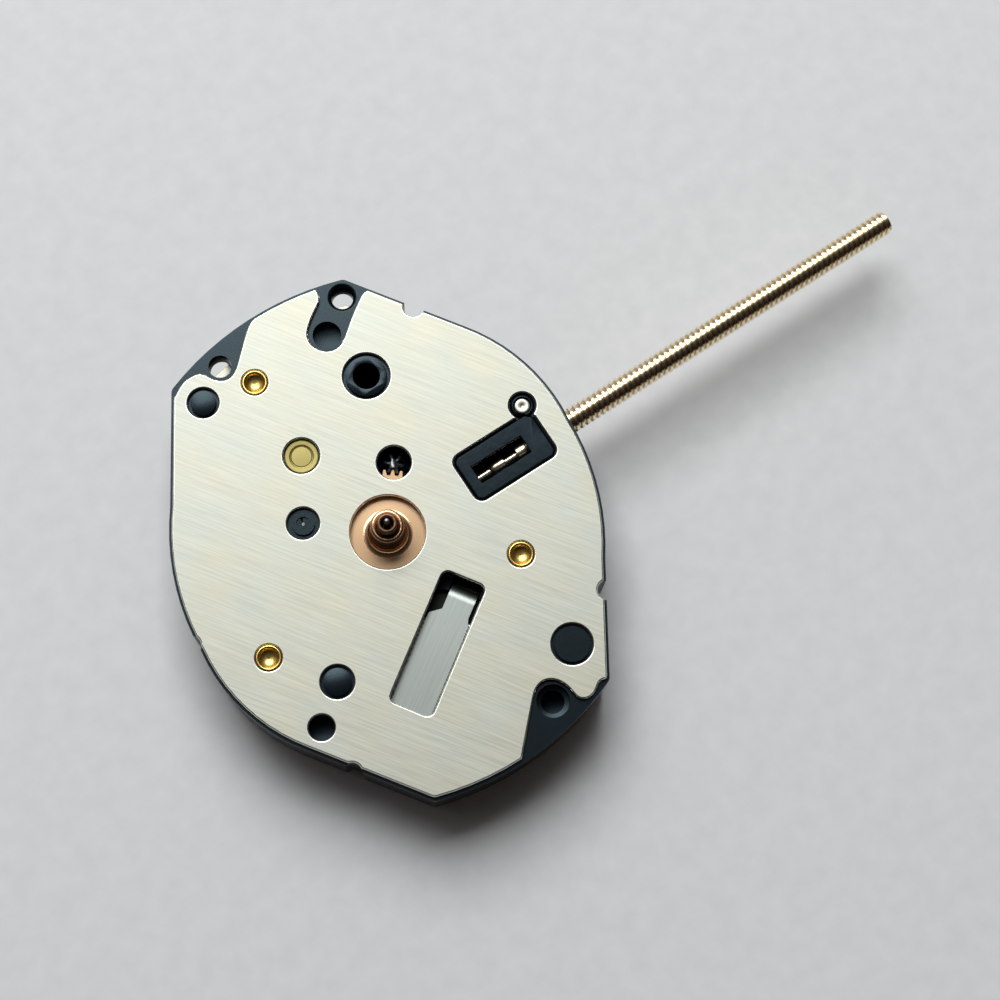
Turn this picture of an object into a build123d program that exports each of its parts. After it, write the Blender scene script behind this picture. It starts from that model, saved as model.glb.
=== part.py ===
from build123d import *
import os
from math import atan2, cos, degrees, pi, radians, sin

os.makedirs("parts", exist_ok=True)

# Frame: the hands turn about Z, the stem leaves along +X at 3 o'clock, 12 o'clock is +Y,
# and height zero is the dial side of the dial plate.

# Overall sizes
movement_height = 3.15
plate_thickness = 0.20
base_height = 2.50
cover_thickness = 0.16

# Outline, as reaches from the hand axis; the rim repeats itself after half a turn
side_reach = 7.62
crown_reach = 9.25
flank_share = 1.038
shoulder_share = 1.055
hip_share = 1.004
waist_share = 0.9934
corner_share = 1.0227
heel_share = 1.0
corner_turn = 67
flank_turn = 19.2
shoulder_turn = 37.4
waist_turn = -20
hip_turn = -40
heel_turn = -67
crown_turn = -90
corner_radius = 0.30
plate_inset = 0.10

# Notches in the rim
assembly_notch_radius = 0.38
assembly_notch_share = 1.0892
assembly_notch_turn = 50.9
rim_notch_radius = 0.35
rim_notch_turns_shares = ((177.5, 1.025), (229.0, 1.106), (312.0, 1.038))

# Cuts of the dial plate that run out over its rim, as shares of the crown's reach and turns
key_cut_places = (
    (1.091, 75.1), (1.012, 73.8), (0.985, 73.2), (0.958, 73.3), (0.916, 75.2), (0.875, 77.4),
    (0.839, 78.9), (0.801, 79.1), (0.769, 77.8), (0.749, 75.6), (0.747, 73.0), (0.762, 70.9),
    (0.795, 69.1), (0.857, 66.7), (0.925, 64.1), (0.953, 62.8), (0.960, 61.1), (1.026, 57.5),
)
wedge_cut_places = (
    (1.075, 84.8), (0.990, 87.1), (0.981, 89.7), (0.958, 91.8), (0.911, 95.3), (0.877, 98.2),
    (0.857, 100.9), (0.858, 103.0), (0.881, 104.7), (0.913, 105.5), (0.948, 106.3),
    (0.967, 108.1), (0.976, 110.2), (0.974, 112.4), (0.969, 114.2), (1.049, 117.6),
)
low_cut_places = (
    (1.074, -65.0), (0.980, -67.8), (0.973, -69.0), (0.980, -70.7), (0.976, -73.1),
    (0.954, -74.4), (0.907, -74.3), (0.863, -74.4), (0.831, -75.4), (0.811, -77.4),
    (0.814, -80.3), (0.839, -83.0), (0.901, -87.7), (0.968, -91.7), (1.012, -94.0),
    (1.077, -96.3),
)

# Round holes of the dial plate
hand_hole_radius = 1.31
minute_hole_radius = 0.605
bush_hole_radius = 0.565
stud_ring_gap = 0.035

# Clearances
overrun = 0.50
running_clearance = 0.02
pocket_clearance = 0.06
wheel_clearance = 0.12
plate_hole_clearance = 0.10

# Hands and the pipes that carry them
seconds_post_radius = 0.10
seconds_post_top = 1.78
centre_tube_radius = 0.20
centre_tube_top = 0.45
cannon_radius = 0.35
cannon_top = 1.45
hour_pipe_radius = 0.60
hour_pipe_top = 1.00
hour_pipe_fillet = 0.28
pipe_chamfer = 0.07
hand_seat_step = 0.01
hand_seat_taper = 0.55
hand_seat_gap = 0.05

# Motion works
motion_centre_distance = 2.50
motion_turn = 52.3
cannon_teeth = 16
minute_wheel_teeth = 24
minute_pinion_teeth = 6
hour_wheel_teeth = 48
setting_wheel_teeth = 10
motion_wheel_thickness = 0.12
hour_wheel_depth = 0.13
hour_recess_depth = 0.27
motion_floor_depth = 0.60
motion_gap = 0.06
cannon_width = 0.19
minute_pinion_cap = 0.10
minute_post_radius = 0.085
minute_post_boss_radius = 0.24
minute_pinion_drop = 0.04
hour_wheel_phase = 52.9

# Going train, with heights counted down from the train side of the web
web_thickness = 0.25
train_depth = 0.90
train_turn = 65.0
train_centre_distance = 2.05
fifth_turn = 180.8
fifth_centre_distance = 2.15
rotor_turn = 141.1
rotor_reach = 2.965
centre_teeth = 64
third_pinion_teeth = 8
third_teeth = 60
seconds_pinion_teeth = 8
seconds_teeth = 40
fifth_pinion_teeth = 8
fifth_teeth = 42
rotor_pinion_teeth = 7
train_wheel_thickness = 0.10
centre_wheel_drop = 0.07
third_wheel_drop = 0.25
seconds_wheel_drop = 0.43
fifth_wheel_drop = 0.61
pinion_overhang = 0.035
arbor_radius = 0.10
pivot_radius = 0.06
pivot_length = 0.12
wheel_rim_width = 0.22
spoke_width = 0.20
hub_radius = 0.36

# Rotor, stator and coil
magnet_radius = 0.50
magnet_drop = 0.07
magnet_height = 0.44
rotor_hole_radius = 0.60
stator_ring_radius = 0.95
stator_arm_width = 0.70
stator_drop = 0.15
stator_thickness = 0.35
stator_bend_along = 2.30
stator_bend_inward = 0.40
core_thickness = 0.40
core_width = 0.70
core_lug_radius = 0.70
core_end_setback = 1.20
coil_offset = 1.08
coil_radius = 0.82
coil_setback = 1.60
flange_radius = 0.88
flange_thickness = 0.15

# Train bridge and the stud that locates it
bridge_thickness = 0.30
bridge_lug_radius = 0.72
stud_reach = 4.09
stud_turn = 105.1
stud_radius = 0.60
stud_top_drop = 0.12
stud_head_height = 0.75
stud_shank_radius = 0.30
stud_ring_radius = 0.415
stud_groove = 0.05

# Brass tubes and the screws that pull on them
tube_top_margin = 2.07
tube_top_reach = crown_reach - tube_top_margin
tube_top_turn = 98.2
tube_stem_reach = 4.71
tube_stem_turn = -42.7
tube_left_margin = 1.62
tube_left_reach = side_reach - tube_left_margin
tube_left_turn = -165.6
tube_radius = 0.44
tube_bore_radius = 0.29
tube_mouth_radius = 0.37
tube_mouth_depth = 0.12
tube_lower_height = 1.20
screw_radius = 0.27
screw_head_radius = 0.70
screw_slot_width = 0.16
screw_slot_depth = 0.12
screw_tip_depth = 0.62
screw_hole_clearance = 0.05

# Moulded pegs, bosses and blind holes of the base
peg_drop = 0.02
peg_a_margin = 1.24
peg_a_reach = crown_reach - peg_a_margin
peg_a_turn = 111.5
peg_a_radius = 0.45
peg_b_margin = 1.74
peg_b_reach = crown_reach - peg_b_margin
peg_b_turn = -64.8
peg_b_radius = 0.62
peg_c_margin = 2.10
peg_c_reach = side_reach - peg_c_margin
peg_c_turn = -140.9
peg_c_radius = 0.485
ring_boss_margin = 3.54
ring_boss_reach = crown_reach - ring_boss_margin
ring_boss_turn = 64.9
ring_boss_radius = 0.735
ring_boss_bore = 0.485
drain_hole_margin = 0.45
drain_hole_reach = side_reach - drain_hole_margin
drain_hole_turn = -141.0
drain_hole_radius = 0.45
drain_hole_depth = 0.60
blind_hole_margin = 1.70
blind_hole_reach = crown_reach - blind_hole_margin
blind_hole_turn = 74.0
blind_hole_radius = 0.51
blind_hole_depth = 0.45

# Holes for the dial's feet
foot_plate_thickness = 0.80
foot_a_margin = 0.75
foot_a_reach = crown_reach - foot_a_margin
foot_a_turn = 101.7
foot_b_margin = 1.04
foot_b_reach = crown_reach - foot_b_margin
foot_b_turn = -79.0
foot_radius = 0.41
foot_b_mouth_radius = 0.58
foot_b_mouth_depth = 0.30
foot_depth = 1.00
case_hole_margin = 0.45
case_hole_reach = crown_reach - case_hole_margin
case_hole_turn = 68.0
case_hole_radius = 0.39
case_hole_chamfer = 0.15
relief_radius = 0.60

# Rotor bush
bush_radius = 0.40
bush_dish_radius = 0.25
bush_dish_depth = 0.06
bush_drop = 0.08

# Battery and its contact strip
battery_radius = 3.40
battery_height = 2.60
battery_wall = 0.232
battery_reach = crown_reach - battery_radius - battery_wall
battery_turn = -106.0
battery_clearance = 0.05
battery_shoulder = 0.30
battery_cap_radius = 2.55
battery_seal_width = 0.22
battery_crimp_radius = 0.20
strip_reach = 4.285
strip_place_turn = -99.1
strip_turn = 34.3
strip_slot_length = 4.95
strip_tail = 2.80
strip_slot_width = 1.59
strip_slot_radius = 0.25
strip_thickness = 0.08
strip_gap = 0.02
strip_neck_width = 0.98
strip_neck_offset = 0.14
strip_neck_start = 0.95
strip_taper = 0.30
strip_bend_start = 1.98
strip_bend_radius = 0.22
strip_room = 0.45

# Winding stem, sizes along X from the hand axis
stem_axis_depth = 0.75
stem_thread_radius = 0.45
stem_tip = 21.75
stem_tip_chamfer = 0.10
thread_runout_start = 7.19
thread_runout_end = 7.74
thread_runout_radius = 0.41
thread_runout_share = 0.78
stem_pull = 0.60
stem_inner_end = 2.95
pilot_width = 0.24
block_start = 4.27
block_radius = 0.27
neck_start = 4.90
neck_radius = 0.16
collar_start = 5.40
collar_radius = 0.36
groove_start = 5.89
groove_radius = 0.20
groove_width = 0.54
stem_bearing_clearance = 0.03
trench_margin = 0.62
trench_end = side_reach - trench_margin
trench_half_width = 0.58
trench_depth = 1.05
trench_start = 2.70

# Keyless works
lever_axle_margin = 1.15
lever_axle_x = side_reach - lever_axle_margin
lever_axle_y = 1.26
lever_axle_radius = 0.28
lever_axle_drop = 0.08
lever_axle_foot = 0.40
lever_thickness = 0.20
lever_hub_radius = 0.56
lever_nose_length = 1.02
lever_nose_width = 0.30
lever_tail_length = 1.30
lever_tail_width = 0.28
lever_tail_turn = 130.0
lever_half_swing = 17.1
spring_anchor_x = 4.60
spring_anchor_y = 2.95
spring_tip_x = 5.73
spring_tip_y = 2.50
spring_thickness = 0.12
spring_anchor_radius = 0.42
spring_arm_width = 0.10
spring_post_radius = 0.18
clutch_start = 3.29
clutch_length = 0.40
clutch_radius = 0.36
clutch_teeth = 10
clutch_tooth_depth = 0.10
clutch_groove_radius = 0.27
clutch_groove_width = 0.12
rocker_thickness = 0.10
rocker_drop = 0.11
rocker_rest_turn = -78.0
rocker_width = 0.46
rocker_tail_length = 1.95
rocker_tail_turn = -12.0
rocker_tail_width = 0.34
rocker_stud_radius = 0.12
reset_pivot_x = 3.50
reset_pivot_y = 2.40
reset_pivot_radius = 0.16
reset_hub_radius = 0.36
reset_tip_reach = 2.12
reset_tip_turn = 20.0
reset_arm_width = 0.20
reset_tail_length = 1.10
reset_tail_turn = -35.0
reset_swing = 6.0
reset_thickness = 0.12
reset_drop = 0.42
reset_boss_radius = 0.28

# Insert of the stem window
window_left = 3.23
window_margin = 0.99
window_right = side_reach - window_margin
window_low = -0.90
window_high = 1.00
window_radius = 0.33
window_ear_radius = 0.48
insert_gap = 0.06
insert_drop = 0.05
insert_bevel = 0.07
insert_flange_thickness = 0.08
insert_flange_margin = 0.12
opening_left = 3.73
opening_right = 5.80
opening_low = -0.33
opening_high = 0.37

# Circuit
board_thickness = 0.12
board_lobe_x = 4.60
board_lobe_y = 2.80
board_lobe_radius = 2.00
board_lug_radius = 0.72
potting_x = 4.10
potting_y = 3.40
potting_radius = 1.10
potting_height = 0.24
crystal_margin = 2.60
crystal_x = side_reach - crystal_margin
crystal_y = -3.62
crystal_turn = 68.9
crystal_radius = 0.60
crystal_length = 4.60
crystal_cap_length = 0.30
crystal_depth = 1.30
crystal_lead_radius = 0.07
crystal_lead_spacing = 0.34
crystal_lead_run = 0.26
rim_wall = 0.50
cover_inset = 0.12
finger_width = 0.60
finger_length = 1.10
finger_slit = 0.15
finger_turns = (8, 152)

# Heights that follow from the sizes above
plate_under = -plate_thickness
base_back = plate_under - base_height
cover_back = base_back - cover_thickness
screw_head_height = movement_height + cover_back
motion_floor = plate_under - motion_floor_depth
web_back = motion_floor - web_thickness
screw_tip = -screw_tip_depth
bridge_front = web_back - train_depth
bridge_back = bridge_front - bridge_thickness
board_front = bridge_back
board_back = board_front - board_thickness
battery_front = battery_height - movement_height
strip_front = battery_front + strip_gap + strip_thickness
stator_front = web_back - stator_drop
stator_back = stator_front - stator_thickness
core_back = stator_back - core_thickness
coil_height = stator_back - core_thickness / 2
foot_plate_back = plate_under - foot_plate_thickness
stem_height = -stem_axis_depth
lever_back = stem_height - lever_thickness / 2
lever_floor = lever_back - running_clearance
reset_front = web_back - reset_drop
cannon_front = motion_floor + motion_gap + cannon_width
motion_wheel_back = motion_floor + motion_gap
motion_wheel_front = motion_wheel_back + motion_wheel_thickness
minute_pinion_top = plate_under - minute_pinion_drop
minute_post_top = minute_pinion_top - minute_pinion_cap
hour_wheel_front = plate_under - hour_wheel_depth
hour_wheel_back = hour_wheel_front - motion_wheel_thickness


def polar(reach, turn):
    """Gives the point at reach from the hand axis, turn degrees round from 3 o'clock."""
    return Vector(reach * cos(radians(turn)), reach * sin(radians(turn)))


def turn_of(start, end):
    """Gives the direction from start to end, in degrees round from 3 o'clock."""
    run = end - start
    return degrees(atan2(run.Y, run.X))


def link(start, end, width):
    """Adds a bar with round ends to the sketch in hand, from start to end."""
    with Locations(Location((start + end) / 2, (0, 0, turn_of(start, end)))):
        SlotCenterToCenter((end - start).length, width)


def disc_at(place, radius, mode=Mode.ADD):
    """Adds or cuts a disc in the sketch in hand."""
    with Locations(place):
        Circle(radius, mode=mode)


def tube_mouth(place):
    """Widens the front end of a brass tube into a cone."""
    with Locations((place.X, place.Y, -tube_mouth_depth / 2)):
        Cone(tube_bore_radius, tube_mouth_radius, tube_mouth_depth, mode=Mode.SUBTRACT)


def screw_at(place, turn):
    """Adds one slotted screw of the back, its slot turned as asked."""
    seat = (Align.CENTER, Align.CENTER, Align.MAX)
    with Locations((place.X, place.Y, cover_back)):
        Cylinder(screw_head_radius, screw_head_height, align=seat)
    with Locations((place.X, place.Y, screw_tip)):
        Cylinder(screw_radius, screw_tip - cover_back, align=seat)
    with Locations(Location((place.X, place.Y, -movement_height), (0, 0, turn))):
        Box(2 * screw_head_radius, screw_slot_width, 2 * screw_slot_depth, mode=Mode.SUBTRACT)


minute_wheel_place = polar(motion_centre_distance, motion_turn)
third_place = polar(train_centre_distance, train_turn)
fifth_place = polar(fifth_centre_distance, fifth_turn)
rotor_place = polar(rotor_reach, rotor_turn)
stud_place = polar(stud_reach, stud_turn)
battery_place = polar(battery_reach, battery_turn)
strip_place = polar(strip_reach, strip_place_turn)
foot_a_place = polar(foot_a_reach, foot_a_turn)
foot_b_place = polar(foot_b_reach, foot_b_turn)
case_hole_place = polar(case_hole_reach, case_hole_turn)
tube_top = polar(tube_top_reach, tube_top_turn)
tube_stem = polar(tube_stem_reach, tube_stem_turn)
tube_left = polar(tube_left_reach, tube_left_turn)
tube_places = (tube_top, tube_stem, tube_left)
hand_axis = Vector(0, 0)
lever_axle_place = Vector(lever_axle_x, lever_axle_y)
reset_pivot_place = Vector(reset_pivot_x, reset_pivot_y)
groove_end = groove_start + groove_width
potting_place = Vector(potting_x, potting_y)
spring_anchor = Vector(spring_anchor_x, spring_anchor_y)
spring_tip = Vector(spring_tip_x, spring_tip_y)
crystal_place = Vector(crystal_x, crystal_y)
strip_leg_reach = strip_bend_start + strip_bend_radius + strip_thickness / 2
strip_leg_place = strip_place + polar(strip_leg_reach, strip_turn)


# Gear geometry: module, phases and the tooth form

def module_of(distance, wheel_teeth, pinion_teeth):
    """Gives the module of two meshed gears from the distance of their axes."""
    return 2 * distance / (wheel_teeth + pinion_teeth)


def meshed_phase(direction, teeth, phase, other_teeth):
    """Gives the turn of the gear that lies in direction, with its gap on the first one's tooth."""
    ahead = (direction - phase) * teeth / 360
    return direction + 180 + (ahead - tooth_half_share) * 360 / other_teeth


tooth_half_share = 0.5
addendum_share = 0.95
dedendum_share = 1.20
tip_width_share = 0.24
root_width_share = 0.56


def gear_teeth(place, teeth, module, phase):
    """Draws the toothed outline of a gear at place, with one tooth centred on phase."""
    pitch_radius = module * teeth / 2
    tip_radius = pitch_radius + addendum_share * module
    root_radius = pitch_radius - dedendum_share * module
    step = 360 / teeth
    points = []
    for tooth in range(teeth):
        middle = phase + tooth * step
        points.append(polar(root_radius, middle - root_width_share * step / 2))
        points.append(polar(tip_radius, middle - tip_width_share * step / 2))
        points.append(polar(tip_radius, middle + tip_width_share * step / 2))
        points.append(polar(root_radius, middle + root_width_share * step / 2))
    with Locations(place):
        Polygon(*points, align=None)


def crossings(place, teeth, module, spokes):
    """Opens a wheel between rim and hub, and leaves its spokes."""
    rim_radius = module * (teeth / 2 - dedendum_share) - wheel_rim_width
    disc_at(place, rim_radius, Mode.SUBTRACT)
    disc_at(place, hub_radius)
    for spoke in range(spokes):
        turn = spoke * 360 / spokes
        with Locations(Location(place + polar(rim_radius / 2, turn), (0, 0, turn))):
            Rectangle(rim_radius + wheel_rim_width, spoke_width)


def arbor(place, start, end, radius):
    """Adds a round arbor between two heights to the part in hand."""
    with Locations((place.X, place.Y, min(start, end))):
        Cylinder(radius, abs(end - start), align=(Align.CENTER, Align.CENTER, Align.MIN))


def tapered(place, start, end, start_radius, end_radius):
    """Adds a tapered length between two heights to the part in hand."""
    with Locations((place.X, place.Y, start)):
        Cone(start_radius, end_radius, end - start, align=(Align.CENTER, Align.CENTER, Align.MIN))


def bore(place, start, end, radius):
    """Cuts a round hole between two heights from the part in hand."""
    with Locations((place.X, place.Y, min(start, end))):
        seat = (Align.CENTER, Align.CENTER, Align.MIN)
        Cylinder(radius, abs(end - start), align=seat, mode=Mode.SUBTRACT)


def tip_radius_of(teeth, module):
    """Gives the radius over the tips of a gear's teeth."""
    return module * teeth / 2 + addendum_share * module


motion_module = module_of(motion_centre_distance, minute_wheel_teeth, cannon_teeth)
hour_module = module_of(motion_centre_distance, hour_wheel_teeth, minute_pinion_teeth)
centre_module = module_of(train_centre_distance, centre_teeth, third_pinion_teeth)
third_module = module_of(train_centre_distance, third_teeth, seconds_pinion_teeth)
seconds_module = module_of(fifth_centre_distance, seconds_teeth, fifth_pinion_teeth)
fifth_distance = (rotor_place - fifth_place).length
fifth_module = module_of(fifth_distance, fifth_teeth, rotor_pinion_teeth)
setting_distance = motion_module * (minute_wheel_teeth + setting_wheel_teeth) / 2
setting_place = minute_wheel_place + polar(setting_distance, rocker_rest_turn)

minute_phase = meshed_phase(motion_turn, cannon_teeth, motion_turn, minute_wheel_teeth)
minute_pinion_phase = meshed_phase(motion_turn, hour_wheel_teeth, hour_wheel_phase,
                                   minute_pinion_teeth)
setting_phase = meshed_phase(rocker_rest_turn, minute_wheel_teeth, minute_phase, setting_wheel_teeth)
third_pinion_phase = meshed_phase(train_turn, centre_teeth, train_turn, third_pinion_teeth)
third_phase = meshed_phase(train_turn, seconds_pinion_teeth, train_turn, third_teeth)
fifth_pinion_phase = meshed_phase(fifth_turn, seconds_teeth, fifth_turn, fifth_pinion_teeth)
rotor_direction = turn_of(fifth_place, rotor_place)
rotor_phase = meshed_phase(rotor_direction, fifth_teeth, rotor_direction, rotor_pinion_teeth)


# Outline of the whole movement, and the shapes that several pieces share

def half_rim(turned):
    """Draws half of the rim, from one long corner round to the other."""
    corner = polar(crown_reach * corner_share, corner_turn + turned)
    shoulder = polar(side_reach * shoulder_share, shoulder_turn + turned)
    flank = polar(side_reach * flank_share, flank_turn + turned)
    side = polar(side_reach, turned)
    waist = polar(side_reach * waist_share, waist_turn + turned)
    hip = polar(side_reach * hip_share, hip_turn + turned)
    heel = polar(crown_reach * heel_share, heel_turn + turned)
    crown = polar(crown_reach, crown_turn + turned)
    far_corner = polar(crown_reach * corner_share, corner_turn + turned - 180)
    Line(corner, shoulder)
    ThreePointArc(shoulder, flank, side)
    ThreePointArc(side, waist, hip)
    Line(hip, heel)
    ThreePointArc(heel, crown, far_corner)


with BuildSketch() as outline:
    with BuildLine():
        half_rim(0)
        half_rim(180)
    make_face()
    corners = outline.vertices().sort_by(lambda corner: corner.center().length)[-4:]
    fillet(corners, corner_radius)


def drawn_in(wall):
    """Draws the outline smaller by a wall, which is measured where the rim is nearest."""
    add(scale(outline.sketch, by=1 - wall / side_reach, mode=Mode.PRIVATE))


def rim_notches():
    """Cuts the small notches of the rim from the sketch in hand."""
    notch = polar(side_reach * assembly_notch_share, assembly_notch_turn)
    disc_at(notch, assembly_notch_radius, Mode.SUBTRACT)
    for notch_turn, reach_share in rim_notch_turns_shares:
        disc_at(polar(side_reach * reach_share, notch_turn), rim_notch_radius, Mode.SUBTRACT)


def foot_reliefs():
    """Draws the slots behind the open foot holes, which run out over the rim."""
    for place, turn in ((foot_a_place, foot_a_turn), (case_hole_place, case_hole_turn)):
        link(place, place + polar(2 * relief_radius, turn), 2 * relief_radius)


def coil_frame():
    """Gives the coil's axis as its two ends, beside the line between its two screws."""
    along = (tube_left - tube_top).normalized()
    outward = Vector(along.Y, -along.X) * coil_offset
    upper = tube_top + outward + along * core_end_setback
    lower = tube_left + outward - along * core_end_setback
    return along, upper, lower


coil_along, core_upper, core_lower = coil_frame()
coil_turn = turn_of(core_upper, core_lower)
coil_middle = (core_upper + core_lower) / 2
coil_span = (tube_left - tube_top).length - 2 * coil_setback
flange_span = coil_span + 2 * flange_thickness


def coil_window(grow):
    """Draws the rectangle that the coil takes, grown on every side."""
    with Locations(Location(coil_middle, (0, 0, coil_turn))):
        Rectangle(flange_span + 2 * grow, 2 * (flange_radius + grow))


def stator_shape(grow):
    """Draws the stator's arms and lugs, grown on every side."""
    inward = Vector(-coil_along.Y, coil_along.X) * stator_bend_inward
    bend = tube_top + coil_along * stator_bend_along + inward
    disc_at(rotor_place, stator_ring_radius + grow)
    disc_at(tube_top, core_lug_radius + grow)
    disc_at(tube_left, core_lug_radius + grow)
    link(rotor_place, bend, stator_arm_width + 2 * grow)
    link(bend, tube_top, stator_arm_width + 2 * grow)
    link(rotor_place, tube_left, stator_arm_width + 2 * grow)


def core_shape(grow):
    """Draws the coil core with its lugs, grown on every side."""
    disc_at(tube_top, core_lug_radius + grow)
    disc_at(tube_left, core_lug_radius + grow)
    link(tube_top, core_upper, core_width + 2 * grow)
    link(core_upper, core_lower, core_width + 2 * grow)
    link(core_lower, tube_left, core_width + 2 * grow)


def bridge_shape(grow):
    """Draws the train bridge between its three screws, clear of battery and coil."""
    for place in tube_places:
        disc_at(place, bridge_lug_radius + grow)
    Polygon(*tube_places, align=None)
    link(tube_top, tube_stem, 2 * (bridge_lug_radius + grow))
    link(tube_left, tube_stem, 2 * (bridge_lug_radius + grow))
    link(tube_top, tube_left, 2 * (bridge_lug_radius + grow))


def bridge_cuts(shrink):
    """Cuts the battery and coil spaces from the bridge, or from its recess by less."""
    disc_at(battery_place, battery_radius + strip_room - shrink, Mode.SUBTRACT)
    with Locations(Location(coil_middle, (0, 0, coil_turn))):
        window = flange_radius + wheel_clearance - shrink
        length = flange_span + 2 * (wheel_clearance - shrink)
        Rectangle(length, 2 * window, mode=Mode.SUBTRACT)


def board_shape(grow):
    """Draws the circuit board, between two screws and out to its lobe."""
    lobe = Vector(board_lobe_x, board_lobe_y)
    link(tube_top, tube_stem, 2 * (board_lug_radius + grow))
    link(tube_top, lobe, 2 * (board_lug_radius + grow))
    link(tube_stem, lobe, 2 * (board_lug_radius + grow))
    disc_at(lobe, board_lobe_radius + grow)
    Polygon(tube_top, tube_stem, lobe, align=None)
    link(tube_stem, strip_leg_place, strip_neck_width + 2 * grow)
    disc_at(battery_place, battery_radius + wheel_clearance - grow, Mode.SUBTRACT)


def window_shape(gap):
    """Draws the stem window with its ear, drawn in by gap."""
    width = window_right - window_left
    height = window_high - window_low
    middle = Vector((window_left + window_right) / 2, (window_low + window_high) / 2)
    with Locations(middle):
        RectangleRounded(width - 2 * gap, height - 2 * gap, window_radius - gap)
    disc_at(lever_axle_place, window_ear_radius - gap)


def opening_shape():
    """Draws the rectangular opening over the stem."""
    middle = Vector((opening_left + opening_right) / 2, (opening_low + opening_high) / 2)
    with Locations(middle):
        Rectangle(opening_right - opening_left, opening_high - opening_low)


def lever_shape(turned, grow):
    """Draws the setting lever, turned from rest and grown on every side."""
    nose = lever_axle_place + polar(lever_nose_length - lever_nose_width / 2,
                                    -90 - lever_half_swing + turned)
    tail = lever_axle_place + polar(lever_tail_length, lever_tail_turn + turned)
    disc_at(lever_axle_place, lever_hub_radius + grow)
    link(lever_axle_place, nose, lever_nose_width + 2 * grow)
    link(lever_axle_place, tail, lever_tail_width + 2 * grow)


def rocker_shape(turned, grow):
    """Draws the rocker bar, turned from rest and grown on every side."""
    stud = minute_wheel_place + polar(setting_distance, rocker_rest_turn + turned)
    tail = minute_wheel_place + polar(rocker_tail_length, rocker_tail_turn + turned)
    disc_at(minute_wheel_place, rocker_width + grow)
    link(minute_wheel_place, stud, rocker_width + 2 * grow)
    link(minute_wheel_place, tail, rocker_tail_width + 2 * grow)


def reset_shape(turned, grow):
    """Draws the reset lever, turned from rest and grown on every side."""
    tip = polar(reset_tip_reach, reset_tip_turn)
    reach = (tip - reset_pivot_place).length
    tip_turn = turn_of(reset_pivot_place, tip) + turned
    tail_turn = reset_tail_turn + turned
    disc_at(reset_pivot_place, reset_hub_radius + grow)
    link(reset_pivot_place, reset_pivot_place + polar(reach, tip_turn), reset_arm_width + 2 * grow)
    tail = reset_pivot_place + polar(reset_tail_length, tail_turn)
    link(reset_pivot_place, tail, reset_arm_width + 2 * grow)


rocker_swing = 360 / minute_wheel_teeth
lever_swing = 2 * lever_half_swing


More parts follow.
